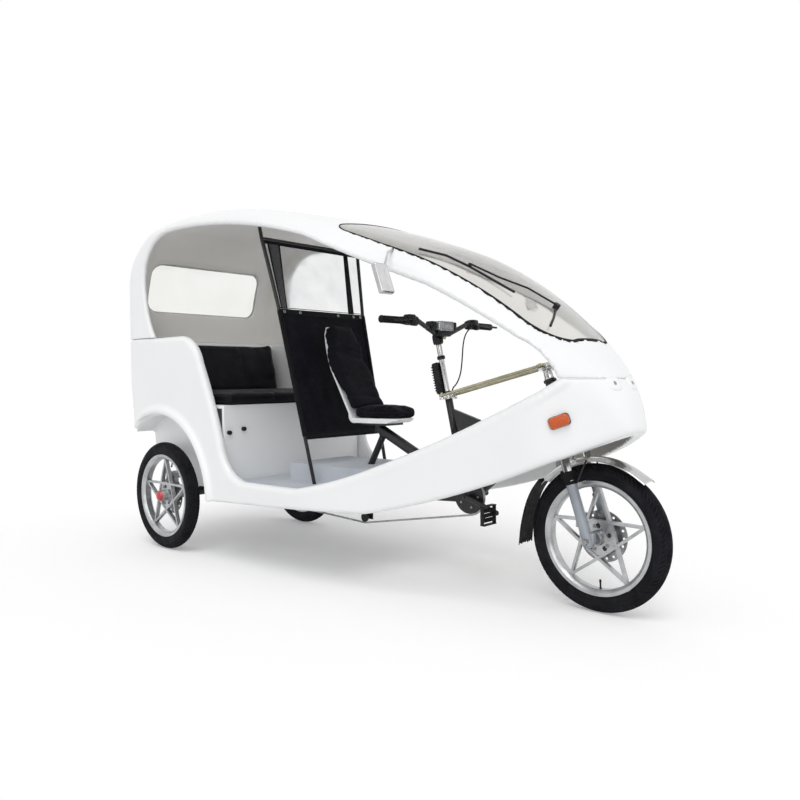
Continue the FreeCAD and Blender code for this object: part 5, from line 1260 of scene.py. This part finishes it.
def make_grips():
    """Ribbed grips, and the control housings inside them."""
    top = on_column(BAR_ALONG)
    profile = mm(11.2, 2, 16, 2, 16.8, 5, 16, 8)
    for rib in range(GRIP_RIBS):
        foot = 0.010 + rib * RIB_PITCH
        profile += [(radius, foot + along) for radius, along in mm(14.6, 0, 15.7, 1.2, 15.7, 3, 14.6, 4)]
    profile += mm(15.8, 117, 16.5, 121, 16, 126, 12, 128.8, 0.1, 129)
    grips, pods, screws = Shape(), Shape(), Shape()
    for sign in SIGNS:
        bend = top + Vector((0.036, sign * BAR_BEND, BAR_RISE))
        end = at(1.535, sign * BAR_HALF, top.z + BAR_RISE)
        along = (end - bend).normalized()
        start = end - along * GRIP_LENGTH
        grips.lathe(start, along, profile, sides=32)
        turn = along.to_track_quat("X", "Z").to_matrix()
        box_at = start - along * 0.040
        pods.block(box_at + Vector((0.004, 0, 0.004)), (0.044, 0.042, 0.046), 0.008, 3, turn)
        pods.block(box_at + Vector((-0.024, 0, 0.012)), (0.020, 0.012, 0.014), 0.003, 2, turn)
        pods.block(box_at + Vector((0.026, 0, -0.010)), (0.026, 0.024, 0.026), 0.006, 3, turn)
        pods.lathe(box_at - along * 0.024, -along, mm(11.2, 0, 20.5, 0, 21.5, 6, 21.5, 18, 16, 26, 11.2, 28),
                   sides=32, closed=True)
        pods.lathe(start - along * 0.014, along, mm(11.2, -10, 17.5, -10, 18.2, 0, 17.5, 10, 11.2, 10),
                   sides=32, closed=True)
        screws.lathe(box_at + Vector((0.022, 0, 0.006)), (1, 0, 0), mm(4, 0, 4, 2, 0.1, 3), sides=16)
    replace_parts(grips.done("ribbed_grips", "handlebar_set", "black_rubber", smooth=30), "handlebar_grips")
    pods.done("control_housings", "handlebar_set", "black_plastic", smooth=40)
    screws.done("control_screws", "handlebar_set", "steel", smooth=40)


# columns: place from the instrument's middle, extent, bevel and its segments
COLUMN_BLOCKS = [
    ((0.002, 0.072, 0.0), (0.032, 0.024, 0.042), 0.005, 3),
    ((-0.004, -0.076, -0.002), (0.044, 0.036, 0.044), 0.009, 3),
    ((-0.004, 0, -0.032), (0.046, 0.092, 0.028), 0.008, 3),
    ((-0.038, 0, -0.006), (0.030, 0.060, 0.034), 0.008, 3),
]


def make_column_trim():
    """The ribbed instrument, its clamps and lock, and the ribbed box on the column."""
    centre = middle("instrument_pod")
    pod = Shape().block(centre, (0.056, 0.106, 0.040), 0.012, 5)
    for step in range(9):
        pod.block(centre + aside(-0.040 + 0.010 * step), (0.060, 0.0045, 0.044), 0.0018)
    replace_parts(pod.done("instrument_pod_case", "handlebar_set", "silver_plastic", smooth=40), "instrument_pod")
    dial = Shape().lathe(centre + Vector((-0.006, 0, 0.0205)), UP, mm(0.1, 0, 18, 0, 18.5, 2.2, 21.5, 2.2, 22.5, -2),
                         sides=40)
    dial.done("instrument_dial", "handlebar_set", "black_plastic", smooth=40)
    clamps = Shape()
    for place, extent, bevel, segments in COLUMN_BLOCKS:
        clamps.block(centre + Vector(place), extent, bevel, segments)
    clamps.lathe(on_column(0.432), COLUMN_UP, mm(12.6, -22, 21.5, -22, 24, -12, 24, 12, 21.5, 20, 12.6, 20),
                 sides=40, closed=True)
    for along in (0.345, 0.180):
        clamps.lathe(on_column(along), COLUMN_UP, mm(12.6, -7, 17.8, -7, 18.5, 0, 17.8, 7, 12.6, 7), sides=40,
                     closed=True)
    start, end = at(1.545, 0.062, 1.150), at(1.535, -0.010, 1.085)
    clamps.tube([start, between(start, end, 0.5), end], 0.0050)
    clamps.done("column_clamps", "handlebar_set", "black_plastic", smooth=40)
    lock = Shape().lathe(at(1.548, 0.016, 1.105), (0.2, 0.3, 1),
                         mm(0.1, -12, 7, -11, 8.8, -6, 8.8, 8, 6, 12, 0.1, 13), sides=24)
    lock.done("column_lock", "handlebar_set", "zinc", smooth=40)
    centre = on_column(BOX_ALONG) - square_to(COLUMN_UP) * BOX_BEHIND
    tilt = Matrix.Rotation(-math.radians(COLUMN_LEAN), 3, "Y")
    box = Shape().block(centre, (0.038, 0.048, 0.146), 0.010, 5, tilt)
    for step in range(10):
        box.block(centre + COLUMN_UP * (-0.054 + 0.012 * step), (0.042, 0.052, 0.0050), 0.0022, 2, tilt)
    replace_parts(box.done("column_box_case", "handlebar_set", "black_plastic", smooth=40), "column_box")


def make_ribbed_rods():
    """The steering rods' rolled thread."""
    for side, sign in SIDES:
        start = on_column(ROD_ON_COLUMN) + aside(sign * ROD_ASIDE)
        end = HEAD + FORK_UP * ROD_OVER_HEAD + aside(sign * ROD_ASIDE)
        path = [between(start, end, 0.05 + 0.90 * step / ROD_THREADS) for step in range(ROD_THREADS + 1)]
        radii = [ROD_CREST if step % 2 else ROD_ROOT for step in range(ROD_THREADS + 1)]
        sleeve = Shape().tube(path, radii, sides=20)
        sleeve.done("rod_thread_" + side, "steering_rod_" + side, "zinc", smooth=30)


# ---------------------------------------------------------------- pedals and crank
CRANK_STATION, CRANK_HEIGHT = 1.730, 0.400
PEDAL_TEETH, RING_TEETH, RING_BOLTS, RING_BOLT_CIRCLE = 9, 36, 5, 0.050


def make_pedals():
    for node in ("pedal_left", "pedal_right"):
        low, high = corners(node)
        centre = middle(node)
        thick, wide, tall = high - low
        cage, core = Shape(), Shape()
        for edge in SIGNS:
            place = centre + UP * edge * (tall / 2 - 0.002)
            cage.block(place, (thick, wide - 0.004, 0.004), 0.0012)
            for tooth in range(PEDAL_TEETH):
                across = 0.004 - wide / 2 + (wide - 0.004) * (tooth + 0.5) / PEDAL_TEETH
                for face in SIGNS:
                    cage.block(place + Vector((face * (thick / 2 - 0.001), across, 0)), (0.004, 0.0050, 0.0042),
                               0.0008, 1)
            cage.block(centre + aside(edge * (wide / 2 - 0.003)), (thick * 0.8, 0.004, tall - 0.004), 0.0012)
            for face in SIGNS:
                core.block(centre + Vector((face * 0.0055, 0, edge * tall * 0.24)),
                           (thick * 0.42, wide - 0.014, 0.014), 0.003, 3)
        core.lathe(centre - aside(wide / 2 - 0.002), (0, 1, 0), mm(0.1, 0, 10, 0.5, 10.5, 12, 8.5, 20) + [
            (0.0085, wide - 0.024), (0.0105, wide - 0.016), (0.0100, wide - 0.005), (0.0001, wide - 0.004)], sides=24)
        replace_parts(cage.done(node + "_cage", node, "black_plastic", smooth=40), node)
        core.done(node + "_core", node, "black_rubber", smooth=40)


def make_crank_trim():
    """The chainring's teeth and bolts on the drive side."""
    centre = at(CRANK_STATION, middle("chain").y, CRANK_HEIGHT)
    reaches = (0.0735, 0.0775, 0.0775, 0.0735) * RING_TEETH
    outline = [(reach * math.cos(turn), reach * math.sin(turn)) for reach, turn in zip(reaches, turns(len(reaches)))]
    teeth = Shape().prism(outline, lambda u, v, depth: centre + Vector((u, depth, v)), -0.0012, 0.0012)
    for turn in turns(RING_BOLTS):
        teeth.lathe(centre + circle(turn) * RING_BOLT_CIRCLE - aside(0.006), (0, 1, 0),
                    mm(0.1, 0, 5, 0.5, 5, 11.5, 0.1, 12), sides=12)
    teeth.done("chainring_teeth", "crankset", "steel", smooth=30)


# ---------------------------------------------------------------- rims round the windows
RIM_SPACING, ABOVE_ROOF = 0.02, 2.4
RIM_HALF, RIM_WIDENS, RIM_WIDENS_FROM, RIM_WIDENS_OVER, RIM_PROUD, RIM_SUNK = 0.0028, 0.0046, 1.9, 0.4, 0.0018, 0.0012
GASKET_SECTION = (0.0085, 0.0030, 0.0022)


def make_rim(name, hits, section, finish, slot=None):
    """A rim round an opening: section gives its half width, its rise and how deep its middle lies at a place."""
    rows = []
    for index, (point, normal) in enumerate(hits):
        way = (hits[(index + 1) % len(hits)][0] - hits[index - 1][0]).normalized()
        side = way.cross(normal).normalized()
        wide, proud, sunk = section(point)
        rows.append([point + side * wide * math.cos(turn) + normal * (proud * math.sin(turn) - sunk)
                     for turn in turns(12)])
    Shape().grid(rows, round_rows=True, round_columns=True).done(name, "body", finish, slot, 180)


def screen_rim_section(point):
    tip = max(0.0, (point.x - AXLE_X - RIM_WIDENS_FROM) / RIM_WIDENS_OVER)
    return RIM_HALF + RIM_WIDENS * tip, RIM_PROUD, RIM_SUNK


def make_window_rims():
    """The windscreen's rubber rim, which widens towards its foot, and the rear window's gasket."""
    form = hull(0)
    skin = tree(form)
    above = [at(station, across, ABOVE_ROOF) for station, across in divided(trace(SCREEN, 24), RIM_SPACING)]
    behind = [at(-BEYOND, across, height) for across, height in divided(window_outline(-0.001), RIM_SPACING)]
    make_rim("windscreen_rim", [skin.ray_cast(place, -UP)[:2] for place in above], screen_rim_section,
             "black_rubber")
    # the gasket takes the warm white that is painted on the cabin's inside as painted light
    make_rim("rear_window_gasket", [skin.ray_cast(place, Vector((1, 0, 0)))[:2] for place in behind],
             lambda point: GASKET_SECTION, "warm_white_painted_light", "white_shell")
    bpy.data.objects.remove(form)


# ---------------------------------------------------------------- small trim on the cabin
INDICATOR_STATION, INDICATOR_ASIDE, INDICATOR_HEIGHT = 2.300, 0.266, 0.755
INDICATOR_TURN, INDICATOR_TILT, INDICATOR_GASKET = math.radians(25), math.radians(20), (0.0805, 0.040, 0.0465)
TONGUE_FROM, TONGUE_HALF, TONGUE_RISE, PROBE = (2.335, 0, 0.890), 0.040, 0.033, 0.06
# columns: size and height of each ring of the nose's tongues
TONGUE_RINGS = [(1.04, -0.004), (1.0, 0.0016), (0.90, 0.0030), (0.45, 0.0034), (0.02, 0.0034)]


def make_lamp_bases():
    """Dark gaskets between the side indicators and the shell."""
    bases = Shape()
    for sign in SIGNS:
        turn = Matrix.Rotation(-sign * INDICATOR_TURN, 3, "Z") @ Matrix.Rotation(-INDICATOR_TILT, 3, "Y")
        centre = at(INDICATOR_STATION, sign * INDICATOR_ASIDE, INDICATOR_HEIGHT) - turn @ aside(sign * 0.004)
        bases.block(centre, INDICATOR_GASKET, 0.014, 4, turn)
    bases.done("indicator_gaskets", "body", "black_rubber", smooth=40)


def make_nose_catch():
    """The tongues of the upper shell over the nose's seam, with their screws."""
    form = hull(0)
    skin = tree(form)
    tongue, screw = Shape(), Shape()
    for sign in SIGNS:
        out = Vector((0.76, sign * 0.65, 0)).normalized()
        point, normal = skin.ray_cast(at(*TONGUE_FROM) + out * 0.6, -out)[:2]
        across = UP.cross(normal).normalized()
        rows = []
        for grow, lift in TONGUE_RINGS:
            row = []
            for turn in turns(32):
                u = TONGUE_HALF * grow * math.copysign(abs(math.cos(turn))**0.7, math.cos(turn))
                v = TONGUE_RISE * grow * math.copysign(abs(math.sin(turn))**0.8, math.sin(turn))
                probe = point + across * u + UP * v + normal * PROBE
                hit = skin.ray_cast(probe, -normal)[0] or probe - normal * PROBE
                row.append(hit + normal * lift)
            rows.append(row)
        tongue.grid(rows, round_columns=True, cap=True)
        screw.lathe(skin.ray_cast(point + normal * PROBE, -normal)[0], normal,
                    mm(8, 2, 8, 4.5, 6, 6.2, 2.2, 6.6, 1.8, 5, 0.1, 4.8), sides=24)
    tongue.done("nose_seam_tongues", "body", "white_shell", smooth=60)
    screw.done("nose_seam_screws", "body", "steel", smooth=40)
    bpy.data.objects.remove(form)


# ---------------------------------------------------------------- CAD nodes that stay
NODE_FINISH = {"fork_legs": "chrome"}
EDGE, EDGE_ANGLE, WELD = 0.0012, math.radians(38), 0.00002
SOFT_EDGES = {"seat_box": 0.004, "side_indicators": 0.004, "driver_seat_shell": 0.003, "floor_pan": 0.003,
              "mirrors": 0.003, "front_wheel": 0.0016, "rear_left_wheel": 0.0016, "rear_right_wheel": 0.0016}


def finish_nodes():
    """Each CAD node that shows takes the finish of its material slot, with softened edges."""
    for part in frame["record"]["subparts"]:
        node = part["node"]
        obj = frame["nodes"][node]
        if obj.hide_render:
            continue
        obj.data.materials.clear()
        obj.data.materials.append(MATERIALS[NODE_FINISH.get(node, part["material_slot"])])
        weld = obj.modifiers.new("weld", "WELD")
        weld.merge_threshold = WELD
        bevel = obj.modifiers.new("soft edges", "BEVEL")
        bevel.width = SOFT_EDGES.get(node, EDGE)
        bevel.segments = 2
        bevel.limit_method = "ANGLE"
        bevel.angle_limit = EDGE_ANGLE
        bevel.harden_normals = True


look()
make_brake_cable()
studio()
make_upper_shell()
make_lower_shell()
make_wheel_wells()
make_glazing()
make_window_rims()
make_lamp_bases()
make_nose_catch()
make_cushions()
make_fabric()
make_film()
make_eyelets()
make_wheels()
make_fender()
make_mud_flap()
make_fork()
make_grips()
make_column_trim()
make_ribbed_rods()
make_pedals()
make_crank_trim()
finish_nodes()
